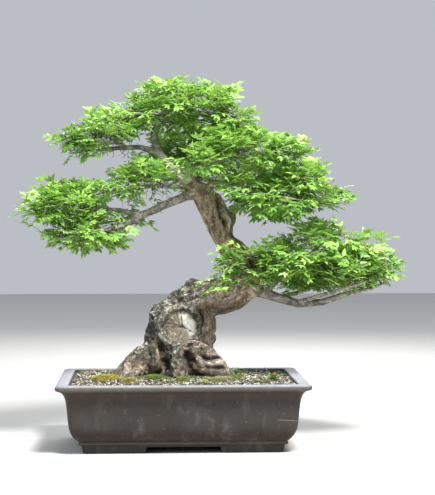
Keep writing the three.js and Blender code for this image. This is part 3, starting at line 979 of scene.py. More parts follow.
# Bare root strands, as stations (x, y, z, radius). The first few have pale bark.
PALE_STRANDS = {
    "shoulder": [
        (2, -30, 203, 4), (15, -35, 211, 6), (31, -31, 209, 6.5),
        (46, -23, 198, 7), (60, -20, 187, 7),
    ],
    "shin": [
        (60, -20, 187, 7), (74, -20, 177, 7), (85, -20, 165, 6),
        (91, -18, 148, 6), (95, -18, 124, 5),
    ],
    "bar": [
        (40, -42, 170, 5), (52, -48, 167, 5.8), (66, -49, 168, 5.6),
        (77, -45, 169, 6), (84, -40, 163, 5),
    ],
    "claw": [(84, -38, 163, 5), (88, -36, 150, 4), (92, -34, 128, 3)],
    "knuckle": [(28, -34, 183, 5), (34, -41, 176, 6.5), (38, -44, 168, 6), (37, -43, 154, 4)],
    "toe": [(-112, -22, 168, 6), (-112, -28, 156, 7), (-119, -34, 144, 6.5), (-128, -40, 132, 5)],
}
TAN_STRANDS = {
    "knee": [(-60, -16, 200, 12), (-52, -24, 192, 13), (-48, -28, 178, 14), (-54, -28, 162, 14)],
    "flank": [(-66, -8, 178, 20), (-84, -14, 168, 15), (-100, -18, 158, 12)],
    "heel": [
        (24, -32, 164, 9), (42, -38, 157, 11), (58, -40, 154, 11),
        (74, -39, 149, 11), (90, -34, 140, 9),
    ],
    "web": [(12, -22, 197, 13), (26, -27, 191, 14.5), (42, -21, 183, 13)],
    "elbow": [(96, 20, 304, 30), (126, 18, 312, 28), (144, 16, 322, 21)],
    "side": [(52, 24, 482, 16), (68, 24, 455, 19), (91, 24, 411, 18), (110, 24, 372, 17)],
    "column": [(44, 4, 286, 14), (48, 0, 256, 11), (47, -4, 230, 10), (50, -5, 208, 10), (54, -5, 192, 9)],
}
DARK_STRANDS = {
    "left": [
        (-66, 10, 190, 17), (-88, 4, 181, 14), (-105, -2, 170, 12),
        (-120, -6, 156, 10), (-133, -8, 144, 8),
    ],
    "front": [(-12, -16, 204, 20), (-11, -32, 184, 17), (-10, -42, 164, 17), (-10, -46, 142, 18.5)],
    "hump": [(-1, 12, 304, 12), (9, 10, 313, 15), (28, 12, 323, 18)],
}
# Creases on the front, as their x and height along them, then width and depth.
CREASES = (
    ([(-43, 204), (-38, 184), (-33, 166), (-31, 140)], 6.5, 13),
    ([(9, 188), (12, 174), (14, 158), (15, 142)], 3.5, 7),
    ([(44, 178), (60, 177), (76, 178)], 2.8, 8),
    ([(38, 272), (41, 250), (38, 228), (30, 220)], 3.2, 7),
    ([(-8, 296), (10, 294), (30, 300), (46, 308)], 4, 8),
)


def spread(values, pairs, weights, rounds):
    """Each point's value, blended with its neighbours' over and over."""
    a, b = pairs.T
    count = len(values)
    total = np.bincount(a, weights, count) + np.bincount(b, weights, count) + 1e-12
    for _ in range(rounds):
        moved = np.bincount(a, weights * values[b], count) + np.bincount(b, weights * values[a], count)
        values = 0.5 * values + 0.5 * moved / total
    return values


def settle(mesh, rounds):
    """Smooths a mesh without shrinking it, and gives its points, faces, edges and normals."""
    points, faces = arrays_of(mesh)
    pairs = edges_of(mesh)
    even = np.ones(len(pairs))
    for _ in range(rounds):
        for share in (0.55, -0.57):
            blended = np.column_stack([spread(c, pairs, even, 1) for c in points.T])
            points = points + (blended - points) * 2 * share
    mesh.vertices.foreach_set("co", points.ravel())
    mesh.update()
    return points, faces, pairs, normals_of(mesh)


def wood_blank():
    """The frame's trunk and branches as one closed surface of small faces."""
    shape = cad_shape(WOOD_NODES, swell=VOXEL_SWELL)
    for strand in (*PALE_STRANDS.values(), *TAN_STRANDS.values(), *DARK_STRANDS.values()):
        stations = np.array(strand, float)
        points, faces = tube(stations[:, :3], stations[:, 3], 10)
        corners = [shape.verts.new(p) for p in place(points)]
        for face in faces:
            shape.faces.new([corners[v] for v in face])
    return remeshed(mesh_of("wood_blank", shape), settings().bark.voxel)


def edges_of(mesh):
    pairs = np.empty(len(mesh.edges) * 2, np.int32)
    mesh.edges.foreach_get("vertices", pairs)
    return pairs.reshape(-1, 2)


def girth_of(points, normals, faces):
    """Half the thickness of the wood under each point, in millimetres."""
    tree = BVHTree.FromPolygons(points.tolist(), faces)
    found = []
    for p, n in zip(points, normals):
        distance = tree.ray_cast(Vector(p - n * SKIN), Vector(-n), THICKEST)[3]
        found.append(THICKEST if distance is None else distance)
    return np.array(found) / 2 / MM


def fibre_direction(normals, pairs):
    """The way that the wood grows: across the normals all round."""
    even = np.ones(len(pairs))
    axes = ((0, 0), (0, 1), (0, 2), (1, 1), (1, 2), (2, 2))
    outer = [spread(normals[:, i] * normals[:, j], pairs, even, 70) for i, j in axes]
    matrices = np.array(outer)[[0, 1, 2, 1, 3, 4, 2, 4, 5]].T.reshape(-1, 3, 3)
    return np.linalg.eigh(matrices)[1][:, :, 0]


def make_wood():
    """Trunk, surface roots and branches in one piece of bark."""
    points, faces, pairs, normals = settle(wood_blank(), 5)
    girth = spread(girth_of(points, normals, faces), pairs, np.ones(len(pairs)), 8)
    fibre = fibre_direction(normals, pairs)
    run = unit(points[pairs[:, 1]] - points[pairs[:, 0]])
    along = np.abs(np.einsum("ij,ij->i", run, fibre[pairs[:, 0]]))
    spots = from_pot(points)
    grain = spread(lumps(spots, 5.5, 2, 3), pairs, along**5 + 0.01, 26)
    grain = np.clip(grain / grain.std() / 2, -1.4, 1.4)
    stout = smoothstep(5, 42, girth)
    lift, marks = bark_relief(spots, normals, girth, stout, grain)
    points = points + normals * (lift * MM * settings().bark.relief)[:, None]
    wood = new_mesh("wood", points, faces, grain=grain, stout=stout, **marks)
    wood.materials.append(bark())
    finish_piece(new_object("wood", wood), "bark", *WOOD_NODES)


def near_path(flat, path):
    """How far each point (x, height) lies from a path, in millimetres."""
    nearest = np.full(len(flat), 1e6)
    for start, end in zip(np.array(path[:-1], float), np.array(path[1:], float)):
        run = end - start
        share = np.clip((flat - start) @ run / (run @ run), 0, 1)
        nearest = np.minimum(nearest, np.linalg.norm(flat - start - share[:, None] * run, axis=1))
    return nearest


def near_strands(spots, strands):
    """How far each point lies outside any of the strands, in millimetres."""
    nearest = np.full(len(spots), 1e6)
    for strand in strands.values():
        radius = np.mean([station[3] for station in strand])
        nearest = np.minimum(nearest, near_path(spots, [station[:3] for station in strand]) - radius)
    return nearest


def bark_relief(spots, normals, girth, stout, grain):
    """How far each point of the wood stands out, in millimetres, and the marks that its colours follow."""
    x, y, z = spots.T
    # The old lower trunk, against the younger wood above and to the right of it.
    right = x - 0.9 * np.maximum(0, 262 - z) + lumps(spots, 24, 2, 5) * 12
    old = smoothstep(62, 24, right) * smoothstep(372, 345, z)
    front = smoothstep(0.05, 0.45, -normals[:, 1]) * smoothstep(34, 14, y)
    pale = smoothstep(3.5, -0.5, near_strands(spots, PALE_STRANDS) + lumps(spots, 8, 2, 3) * 3)
    tan = smoothstep(6, 0, near_strands(spots, TAN_STRANDS) + lumps(spots, 16, 2, 3) * 4)
    calm = 1 - 0.7 * np.maximum(pale, tan * 0.6)
    burl = lumps(spots, 34, 2, 1)
    knob = lumps(spots, 12, 3, 7)
    crack = 0.3 - np.abs(lumps(spots, 15, 3, 12)) * 2
    lift = stout * calm * (burl * 2.6 + knob * 1.5 * (0.4 + 0.6 * old) + np.minimum(crack, 0.1) * 1.7 * old)
    # Loose plates of old bark, a millimetre or two thick.
    plate = smoothstep(-0.04, 0.05, lumps(spots, 11, 3, 21) + 0.05) * old * stout * calm
    lift += plate * 1.9
    lift += grain * (0.25 + 1.15 * stout) * np.clip(girth / 6, 0.3, 1) * (1 - 0.4 * old)
    # Painted shade: hollow darkens the bark's cracks, and below, the creases, the groove and the wound's
    # splits and rim.
    hollow = smoothstep(0.35, -1.8, crack * old * stout * 2 + grain * 0.45) * calm
    face, callus, raised, sunk, split, rim = wound_relief(spots, front)
    callus *= 1 - pale
    lift = lift * (1 - 0.9 * face) + callus * raised + face * sunk
    hollow = np.maximum(np.maximum(hollow * (1 - face), face * split * 0.95), rim)
    for path, width, depth in CREASES:
        dip = bell(near_path(spots[:, (0, 2)], path), width) * front
        lift -= dip * depth
        hollow = np.maximum(hollow, dip**2)
    change, groove, lip = groove_relief(spots)
    lift += change
    hollow = np.maximum(hollow, groove**0.7)
    callus = np.maximum(callus, lip * 1.4)
    rust = smoothstep(20, 8, np.linalg.norm(spots - KNOB, axis=1))
    beside = bell(groove_run(spots) + 10 + lumps(spots, 20, 2, 13) * 6, 6)
    red = beside * smoothstep(520, 500, z) * smoothstep(395, 430, z) * smoothstep(26, 14, y)
    marks = {"old": old, "hollow": hollow, "scar": face, "callus": callus, "rust": rust, "red": red}
    return lift, marks | {"plate": plate, "girth": girth, "pale": pale, "tan": tan}


def wound_relief(spots, front):
    """The old wound: its face and its callus, how far each stands out, and its splits and its rim, which get
    painted shade.
    """
    x, z = spots[:, 0] - SCAR[0], spots[:, 2] - SCAR[1]
    ring = np.hypot(x * 0.96, z) + lumps(spots, 20, 2, 4) * 2.5
    face = smoothstep(SCAR_RADIUS + 1, SCAR_RADIUS - 5, ring) * front
    callus = bell(ring - SCAR_RADIUS - 7, 6) * front
    level = bell(z - 2 + 0.16 * x - lumps(spots, 18, 2, 6) * 2.5, 1.9) * (spots[:, 0] < 8)
    upright = bell(spots[:, 0] + 8 + lumps(spots, 15, 2, 9) * 2, 1.7) * (spots[:, 2] > 240) * 0.8
    split = np.maximum(level, upright)
    rays = np.sin(np.arctan2(z, x) * 13 + ring * 0.1 + lumps(spots, 25, 2, 2) * 2.5)
    raised = 6.5 + 1.4 * np.sin(ring * 1.3)
    sunk = rays * 0.5 - split * 3.2 + smoothstep(0, 26, x + 0.3 * z) * 3.5 - 5.5
    rim = bell(ring - SCAR_RADIUS - 0.5, 2.2) * front * 0.85
    return face, callus, raised, sunk, split, rim


def groove_run(spots):
    """How far each point lies to the right of the hollow in the upper trunk."""
    x, _, z = spots.T
    down = np.clip((505 - z) / 60, 0, 1)
    return x - (73 + 16 * down + 2.5 * np.sin(z / 7) + lumps(spots, 14, 2, 17) * 4)


def groove_relief(spots):
    """The old hollow down the upper trunk's right side: its relief, its depth and the callus beside it."""
    x, y, z = spots.T
    run = groove_run(spots)
    reach = smoothstep(512, 500, z) * smoothstep(440, 456, z) * smoothstep(24, 14, y)
    groove = bell(run, 4.8) * reach * smoothstep(-0.5, 0.1, lumps(spots, 16, 2, 18))
    lip = bell(run - 11, 4.5) * reach
    change = lip * 5 - groove * 9 - bell(run - 6, 16) * reach * 1.5
    change += bell(np.hypot(x - 110, z - 470), 12) * 5 - bell(np.hypot(x - 117, z - 433), 15) * 12
    return change, groove, np.maximum(lip, bell(run + 8, 3) * reach * 0.7)


def tan_bark(nodes, middle, broad, flake, low, limb):
    """Sheltered bark: painted shade between its ridges, redder in one strip, pinkish and scaly on the limb.
    """
    grain = nodes.attribute("grain")
    red = nodes.attribute("red") * flake.between(0.42, 0.56)
    scaly = nodes.cells(7, "DISTANCE_TO_EDGE").between(0.1, 0.02) * flake.between(0.42, 0.54)
    return nodes.layers(
        nodes.mix(middle.between(0.35, 0.68), (0.200, 0.140, 0.085), settings().bark.tan),
        (broad.between(0.5, 0.7) * 0.6, (0.340, 0.195, 0.115)),
        (low * 0.7, (0.200, 0.140, 0.080)),
        (red * 0.6, (0.270, 0.110, 0.060)),
        (nodes.noise(18, 4, 0.65, 0.6, shift=19).between(0.54, 0.66) * 0.55, (0.150, 0.140, 0.075)),
        # Painted shade in the grain's grooves.
        (grain.between(0.0, -0.8) * 0.8, (0.050, 0.034, 0.020)),
        (grain.between(0.45, 1.0) * 0.7, (0.62, 0.55, 0.42)),
        (flake.between(0.51, 0.62) * (0.5 - low * 0.35), (0.52, 0.45, 0.31)),
        (flake.between(0.47, 0.38) * 0.6, (0.055, 0.038, 0.022)),
        (limb * nodes.noise(15, 4, 0.65, 0.8, shift=22).between(0.46, 0.58) * 0.8, (0.60, 0.53, 0.44)),
        (limb * nodes.noise(17, 4, 0.65, 0.8, shift=23).between(0.53, 0.62) * 0.75, (0.27, 0.110, 0.065)),
        (limb * scaly * 0.8, (0.040, 0.028, 0.018)),
    )


def wound_colour(nodes, fine, flake, aside, wavy):
    """Old bare wood: brown, flaking and split, and pale towards its upper right, partly pale wood and partly
    a painted highlight.
    """
    # The pale patch at the upper right: partly pale bare wood, partly a painted highlight.
    pale_wood_and_highlight = aside.between(58, 78) * nodes.noise(8, 4, 0.7, 0.8, shift=16).between(0.26, 0.48)
    cracks = [(nodes.off_line(*ends) + wavy).between(1.8, 0.5) * 0.9 for ends in SCAR_CRACKS]
    return nodes.layers(
        nodes.mix(nodes.noise(9, 4, 0.6).between(0.35, 0.65), (0.072, 0.060, 0.040), (0.200, 0.176, 0.128)),
        (nodes.noise(5, 5, 0.75, 1.0, shift=4).between(0.56, 0.66) * 0.7, (0.050, 0.038, 0.024)),
        (nodes.noise(4, 4, 0.7, shift=15).between(0.58, 0.66) * 0.7, (0.46, 0.42, 0.34)),
        (pale_wood_and_highlight * (0.55 + fine * 0.5), (0.66, 0.64, 0.57)),
        (flake.between(0.53, 0.61) * 0.35, (0.40, 0.36, 0.28)),
        (flake.between(0.46, 0.38) * 0.5, (0.034, 0.027, 0.019)),
        *((crack, (0.022, 0.016, 0.011)) for crack in cracks),
    )


def bark():
    nodes = new_material("bark")
    own = settings().bark
    old, stout, plate = (nodes.attribute(a) for a in ("old", "stout", "plate"))
    pale_root, tan_root = nodes.attribute("pale"), nodes.attribute("tan")
    up, side = nodes.normal().part("Z"), nodes.normal().part("X")
    front = nodes.normal().part("Y").between(0.2, -0.4)
    height = (nodes.coordinates().part("Z") - POT_HIGH.z) / MM
    spot = nodes.coordinates().part("X") / MM - float(FOOT_MIDDLE.x / MM)
    broad, middle = nodes.noise(45, 4, 0.6, 0.5), nodes.noise(13, 5, 0.65, 0.8)
    fine, flake = nodes.noise(3.2, 4, 0.7, 0.4), nodes.noise(7, 5, 0.8, 1.0, shift=20)
    wavy = (nodes.noise(9, 3, shift=18) - 0.5) * 6
    limb = height.between(145, 160) * height.between(224, 205) * spot.between(44, 60)
    tan = tan_bark(nodes, middle, broad, flake, height.between(64, 20), limb)
    grey = nodes.mix(middle.between(0.38, 0.66), own.dark, (0.088, 0.095, 0.078))
    greenish = nodes.noise(24, 4, 0.6, shift=6).between(0.52, 0.66) * 0.5
    grey = nodes.mix(greenish, grey, (0.085, 0.105, 0.060))
    weathered = (old * 0.8 + up.between(-0.25, 0.55) * 0.55 + side.between(0.3, -0.6) * 0.4 - 0.3) * stout
    weathered = weathered + (broad - 0.5) * 1.4 - tan_root * 0.75
    twig_tint = nodes.mix(middle.between(0.4, 0.65), (0.130, 0.118, 0.100), (0.430, 0.405, 0.360))
    blotchy = nodes.noise(8, 4, 0.65, 0.7, shift=9).between(0.4, 0.6)
    cream = nodes.mix(blotchy, (0.235, 0.170, 0.130), (0.68, 0.57, 0.49))
    # Painted shade: the pale roots are darker where they face down.
    cream = nodes.mix(up.between(0.0, -0.5) * 0.85, cream, (0.12, 0.075, 0.05))
    net = nodes.cells(11, "DISTANCE_TO_EDGE").between(0.09, 0.02)
    net = net * nodes.noise(20, 3, shift=14).between(0.42, 0.58)
    tint = nodes.layers(
        nodes.mix(weathered.between(0.25, 0.75), tan, grey),
        (stout.between(0.34, 0.1), twig_tint),
        # The pale roots show more where they face up: real pale bark with a painted highlight.
        (pale_root * (0.45 + up.between(-0.5, 0.4) * 0.55), cream),
        (net * stout * 0.75, (0.045, 0.032, 0.022)),
    )
    # Painted shade: the lower trunk, apart from its pale roots and the limb, is multiplied darker.
    lower_trunk_shade = height.between(178, 146) * (1 - pale_root) * (1 - limb)
    tint = nodes.mix(lower_trunk_shade, tint, (0.60, 0.59, 0.58), "MULTIPLY")
    # Pale dead bark, partly real and partly a painted highlight: stronger where faces look up or to the
    # front, and on the plates' tops.
    crust_and_highlight = nodes.noise(7, 5, 0.8, 1.2, shift=2).between(0.51, 0.57)
    fleck = nodes.cells(4.5).between(0.34, 0.18) * nodes.noise(9, 2, shift=11).between(0.48, 0.6)
    lit = 0.2 + old * 0.35 + up.between(-0.1, 0.7) * 0.6
    patchy = nodes.noise(34, 2, shift=8).between(0.4, 0.64) * 0.8 + front * 0.2
    crust_and_highlight = crust_and_highlight * (0.55 + plate * 0.6) + fleck * (0.3 + front * 0.5)
    crust_and_highlight = (crust_and_highlight + plate * flake.between(0.5, 0.58) * 0.5) * lit * patchy * (1 - tan_root * 0.75)
    broken = nodes.noise(9, 3, shift=24).between(0.4, 0.5) * 0.85
    strips = [(nodes.off_line(*ends) + wavy * 0.6).between(3.2, 1.4) * broken for ends in CREAM_STRIPS]
    callus = nodes.attribute("callus") * 0.5 * nodes.noise(7, 4, shift=7).between(0.42, 0.6)
    tint = nodes.layers(
        tint,
        # Painted shade between the old bark's loose plates.
        (old * (1 - plate) * flake.between(0.58, 0.48) * 0.7, (0.017, 0.016, 0.013)),
        (crust_and_highlight * (0.95 - pale_root * 0.5), own.pale),
        (height.between(40, 12) * stout * 0.6 * broad.between(0.3, 0.6), (0.27, 0.195, 0.150)),
        (nodes.attribute("rust") * 0.85, (0.40, 0.17, 0.045)),
        (nodes.attribute("scar"), wound_colour(nodes, fine, flake, spot + height * 0.6, wavy)),
        (callus, (0.42, 0.40, 0.33)),
        *((strip, (0.62, 0.56, 0.44)) for strip in strips),
        # Painted shade in cracks, creases, grooves and round the wound.
        (nodes.attribute("hollow") * 0.85, (0.014, 0.012, 0.009)),
        (fine.between(0.44, 0.3) * 0.6, (0.030, 0.025, 0.018)),
    )
    shape = nodes.bump(fine * 0.55 + nodes.noise(1.4, 3, 0.7, shift=3) * 0.3 + crust_and_highlight * 0.35, 1.5, 0.9)
    shape = nodes.bump(middle, 2.4, 0.5, shape)
    return nodes.paint(Base_Color=tint, Roughness=0.78 + fine * 0.18, Normal=shape)


# ---- Twigs and leaves ----

GROWTH_ROUNDS = 90
BRANCHING = 2.3  # the power of their radii that adds up where twigs meet
TWIG_TIP, TWIG_FOOT = 0.55 * MM, 3.2 * MM  # the thinnest and the thickest radius
LEAFY_TWIG = 1.9 * MM  # the thickest that bears leaves
ROUND_TWIG = 1.2 * MM  # the thinnest with five sides, and not four
ROOTING_REACH = 35 * MM  # from a foliage mass to wood that its twigs leave
FEWEST_STARTS = 12
LEAF_MIDDLE = 0.55  # of its length
LEAF_OVERHANG = 15 * MM  # beyond which few leaves stay outside their mass
MIDRIB = 0.35 * MM


def wood_starts():
    """Points inside the thin wood, where twigs can leave it."""
    mesh = bpy.data.objects["wood"].data
    points, _ = arrays_of(mesh)
    normals = normals_of(mesh)
    girth = np.empty(len(points), np.float32)
    mesh.attributes["girth"].data.foreach_get("value", girth)
    thin = girth < THIN_WOOD
    return points[thin] - normals[thin] * girth[thin, None] * MM * 0.8


def fill_points(node, count, draw):
    """Points inside a foliage solid, more of them near its surface."""
    tree = cad_tree(node)
    low, high = (np.array(c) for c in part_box(node))
    found = []
    while len(found) < count:
        p = Vector(draw.uniform(low, high))
        spot, normal, _, distance = tree.find_nearest(p)
        inside = (p - spot).dot(normal) < 0
        if inside and distance > 9 * MM and draw.random() < 0.25 + 0.75 * smoothstep(40, 12, distance / MM):
            found.append(tuple(p))
    return np.array(found)


def grow(starts, targets, step, draw):
    """Twigs that reach for the targets from the starts: each node's point, and its parent's number or -1."""
    points = [np.array(s) for s in starts]
    parents = [-1] * len(points)
    gap = np.linalg.norm(targets[:, None] - np.array(points)[None], axis=2)
    nearest, distance = gap.argmin(1), gap.min(1)
    alive = np.ones(len(targets), bool)
    for _ in range(GROWTH_ROUNDS):
        alive &= distance > step * 1.15
        if not alive.any():
            break
        pulled = {}
        for t in np.flatnonzero(alive):
            pulled.setdefault(int(nearest[t]), []).append(t)
        fresh = []
        for parent, pulling in pulled.items():
            pull = unit(targets[pulling] - points[parent]).sum(0)
            away = unit(pull + draw.normal(0, 0.22, 3) + (0, 0, 0.06))
            fresh.append(len(points))
            points.append(points[parent] + away * step)
            parents.append(parent)
        gap = np.linalg.norm(targets[:, None] - np.array(points[fresh[0] :])[None], axis=2)
        closer = gap.min(1) < distance - step * 0.02
        nearest = np.where(closer, gap.argmin(1) + fresh[0], nearest)
        stalled = ~closer & (gap.min(1) > distance + step * 2)
        alive &= ~stalled | (draw.random(len(targets)) > 0.2)
        distance = np.minimum(distance, gap.min(1))
    return np.array(points), np.array(parents)


def twig_radii(parents, tip):
    """Each node's radius, from the twigs beyond it."""
    load = np.zeros(len(parents))
    children = np.bincount(parents[parents >= 0], minlength=len(parents))
    load[children == 0] = tip**BRANCHING
    for node in range(len(parents) - 1, -1, -1):
        if load[node] == 0:
            load[node] = tip**BRANCHING
        if parents[node] >= 0:
            load[parents[node]] += load[node]
    return load ** (1 / BRANCHING), children


def twig_chains(parents, radii):
    """Unbroken runs of nodes, each from where it leaves thicker wood to its tip."""
    best = {}
    for node, parent in enumerate(parents):
        if parent >= 0 and (parent not in best or radii[node] > radii[best[parent]]):
            best[parent] = node
    chains = []
    for node, parent in enumerate(parents):
        if parent >= 0 and (parents[parent] < 0 or best[parent] != node):
            chain = [parent, node]
            while chain[-1] in best:
                chain.append(best[chain[-1]])
            chains.append(chain)
    return chains


FRONT_VIEW = (-78.8, -2935, 458)  # where the front is seen from

# Gaps between the layers of leaves, as an ellipse's x, height, half width and half height in the front view.
GAPS = (
    (-130, 582, 30, 17),
    (-178, 567, 34, 10),
    (-137, 492, 21, 12),
    (-92, 422, 22, 20),
    (-290, 442, 20, 17),
    (140, 426, 36, 25),
    (181, 442, 52, 14),
    (52, 367, 27, 19),
    (322, 549, 30, 30),
    (130, 701, 30, 14),
)

# Wood that few leaves hide: its path as (x, height), its depth, and the width and share of leaves left out.
BARE_WOOD = (
    ([(38, 514), (8, 508), (-38, 489), (-83, 467), (-122, 446), (-150, 438)], 10, 15, 0.95),
    ([(70, 480), (58, 500), (36, 522), (8, 540)], 26, 24, 0.9),
    ([(8, 540), (-23, 565), (-50, 600)], 26, 12, 0.6),
    ([(62, 532), (100, 532), (140, 520)], 12, 11, 0.75),
    ([(168, 309), (204, 297), (240, 287), (285, 290)], 4, 15, 0.95),
)

# Thin growth outside the masses, as paths of (x, y, z).
STRAY_GROWTH = {
    "foliage_upper_left": (
        [(-243, 10, 603), (-195, 12, 596), (-135, 14, 593), (-78, 18, 598)],
        [(-110, 12, 634), (-80, 14, 640)],
    ),
    "foliage_front": ([(34, -34, 544), (60, -40, 540), (86, -38, 530)], [(70, -34, 566), (96, -34, 560)]),
    "foliage_left_middle": ([(-125, 8, 490), (-60, 8, 508), (-5, 14, 520)],),
    "foliage_left": (
        [(-108, 8, 458), (-78, 8, 450)],
        [(-292, 0, 438), (-240, 0, 426), (-185, 0, 412)],
    ),
    "foliage_right_low": (
        [(290, -8, 436), (320, -8, 444), (342, -8, 424), (388, -8, 410), (412, -8, 386)],
        [(48, -56, 325), (64, -60, 326), (84, -60, 328), (104, -54, 338)],
        [(60, -62, 318), (74, -62, 320), (92, -60, 325)],
        [(58, -54, 331), (70, -56, 336), (86, -56, 340)],
        [(182, 0, 424), (228, 0, 430)],
        [(180, 4, 332), (250, 0, 322), (315, 0, 327), (362, 0, 340)],
    ),
}

LEAF_PAIRS = (2, 3, 2, 1, 2)  # pairs of leaflets on each kind of leaf, which also has one at its tip


def leaflet(base, away, length, width, droop, fold):
    """Eight points and six faces of one leaflet that leaves its base in that direction."""
    away = unit(away)
    side = unit(np.cross((0, 0, 1), away))
    up = np.cross(away, side)
    stations = ((0.0, 0.0), (0.34, 1.0), (0.70, 0.66), (1.0, 0.0))
    points = []
    for share, wide in stations:
        middle = base + away * length * share - np.array((0, 0, 1)) * droop * length * share**2
        if wide == 0:
            points.append(middle)
            continue
        half, raised = side * width / 2 * wide, up * fold * width * wide
        points += [middle + half + raised, middle, middle - half + raised]
    faces = [(0, 2, 1), (0, 3, 2), (1, 2, 5, 4), (2, 3, 6, 5), (4, 5, 7), (5, 6, 7)]
    blade = [(0, 0)] + [(v, s) for s in (0.34, 0.7) for v in (-1, 0, 1)] + [(0, 1)]
    return points, faces, blade


def compound_leaf(name, pairs, seed, length):
    """A leaf along +X with its face up: a short stalk, leaflets in pairs and one at the tip."""
    draw = np.random.default_rng(seed)
    points, faces, blade = [], [], []

    def add(part):
        first = len(points)
        points.extend(part[0])
        faces.extend([tuple(v + first for v in f) for f in part[1]])
        blade.extend(part[2])

    def spine(share):
        return np.array((share, 0, math.sin(share * 2.2) * 0.10 - 0.05 * share**2)) * length

    stalk = 0.2
    node_gap = (0.68 - stalk) / max(pairs - 1, 1)
    for i in range(pairs):
        share = stalk + 0.06 + node_gap * i
        size = length * (0.40 + 0.07 * math.sin(math.pi * (i + 0.6) / pairs))
        for turn in (-1, 1):
            angle = math.radians(draw.uniform(46, 62)) * turn
            away = (math.cos(angle), math.sin(angle), draw.uniform(-0.12, 0.2))
            size_now = size * draw.uniform(0.88, 1.1)
            add(leaflet(spine(share), away, size_now, size_now * 0.42, draw.uniform(-0.05, 0.2), 0.2))
    size = length * 0.47
    end = spine(0.62 if pairs > 1 else 0.5)
    add(leaflet(end, (1, draw.uniform(-0.15, 0.15), 0.05), size, size * 0.42, 0.12, 0.2))
    corners = np.array([(0, 1, -1), (0, -1, -1), (0, 0, 0.4)]) * MIDRIB
    for share in (0.0, 0.35, 0.7):
        points += [spine(share) + corner for corner in corners]
        blade += [(0, 0)] * 3
    first = len(points) - 9
    for ring in (0, 3):
        for i in range(3):
            a, b = first + ring + i, first + ring + (i + 1) % 3
            faces.append((a, b, b + 3, a + 3))
    return new_object(name, new_mesh(name, points, faces, blade=[(u, v, 0) for u, v in blade]))


def leaf_tree(material):
    """Sets a leaf on each point, turned to its direction and its face, and keeps the point's tint."""
    tree, nodes, given = new_geometry_tree("leaves", (("Leaves", "NodeSocketCollection", None),))
    turn = nodes.add(
        "FunctionNodeAxesToRotation",
        {"primary_axis": "X", "secondary_axis": "Z"},
        {0: nodes.named("FLOAT_VECTOR", "direction"), 1: nodes.named("FLOAT_VECTOR", "face_up")},
    )
    floor = {"rounding_mode": "FLOOR"}
    kind = nodes.add("FunctionNodeFloatToInt", floor, {0: nodes.named("FLOAT", "kind")})
    leaves = given.other("Leaves")
    nodes.realize(nodes.instances(given, leaves, kind, turn, nodes.named("FLOAT", "size")), material)
    return tree


def front_view(spots, depth):
    """The x and height at which points, seen from the front, fall on the upright plane at that depth."""
    spot, flat = FRONT_VIEW[1], np.array((FRONT_VIEW[0], FRONT_VIEW[2]))
    return flat + (spots[:, (0, 2)] - flat) * ((depth - spot) / (spots[:, 1] - spot))[:, None]


def thinned(rows, node, draw):
    """The leaves that stay: not in a gap, not over bare wood, and seldom far outside the foliage's mass."""
    leaf_length = settings().leaf.leaf_length
    middles = from_pot(rows[:, :3] + rows[:, 3:6] * leaf_length * LEAF_MIDDLE)
    stay = np.ones(len(rows), bool)
    for x, z, half_width, half_height in GAPS:
        flat = front_view(middles, 0) - (x, z)
        away = np.hypot(flat[:, 0] / half_width, flat[:, 1] / half_height)
        stay &= away > draw.uniform(0.85, 1.15, len(rows))
    for path, depth, width, share in BARE_WOOD:
        over = (near_path(front_view(middles, depth), path) < width) & (middles[:, 1] < depth)
        stay &= ~over | (draw.random(len(rows)) > share)
    tree = cad_tree(node)
    for i, row in enumerate(rows):
        tip = Vector(row[:3] + row[3:6] * leaf_length * row[9])
        spot, normal, _, distance = tree.find_nearest(tip)
        if (tip - spot).dot(normal) > 0 and distance > LEAF_OVERHANG and draw.random() < 0.85:
            stay[i] = False
    return rows[stay]


def leaf_points(node, points, parents, radii, children, draw):
    """Where the leaves of one foliage mass sit: point, direction, face, size, tint and kind of each."""
    low, high = (np.array(c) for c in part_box(node))
    middle = (low + high) / 2
    half = (high - low) / 2
    rows = []

    def leaf(spot, away, tip):
        out = (spot - middle) / half
        crown = np.clip(out[2], -1, 1)
        away = unit(away)
        up = np.array((0, 0, 1.0)) + (out * (1, 1, 0)) * 0.35 + draw.normal(0, 0.26, 3)
        # Paler towards the mass's top and outside, darker within: partly young growth at the outside, partly
        # painted light and shade.
        age_and_light = np.clip(0.42 + 0.26 * crown + 0.22 * np.linalg.norm(out) - 0.25 + draw.normal(0, 0.17), 0, 1)
        size = draw.uniform(0.78, 1.12) * (0.92 if tip else 1.0)
        kind = draw.integers(0, len(LEAF_PAIRS))
        rows.append((*spot, *away, *unit(up), size, age_and_light, kind + 0.5))

    for node_index, parent in enumerate(parents):
        if parent < 0 or radii[node_index] > LEAFY_TWIG:
            continue
        here = points[node_index]
        along = unit(here - points[parent])
        out = (here - middle) / half
        side = unit(np.cross(along, (0, 0, 1)) + (0, 0, 1e-6))
        outward = unit(out * (1, 1, 0.6))
        tip = children[node_index] == 0
        if tip:
            leaf(here, along + outward * 0.5 + (0, 0, -0.05), True)
        for turn in (-1, 1):
            chance = 0.95 if tip else 0.62
            if draw.random() < chance:
                away = along * 0.55 + side * turn * draw.uniform(0.7, 1.1) + outward * 0.35
                away = away + (0, 0, draw.uniform(-0.12, 0.34) + 0.12 * out[2])
                leaf(here, away, tip)
    return thinned(np.array(rows), node, draw)


def twig_targets(node, litres, draw):
    """Points that a foliage mass's twigs reach for: first those inside it, then its stray growth."""
    inside = fill_points(node, int(settings().leaf.crowding * litres + 50), draw)
    targets = inside
    for path in STRAY_GROWTH.get(node, ()):
        run = along_path(place(path), 2.4 * MM)
        targets = np.vstack([targets, run + draw.normal(0, 1, run.shape) * (7 * MM, 18 * MM, 6 * MM)])
    return inside, targets


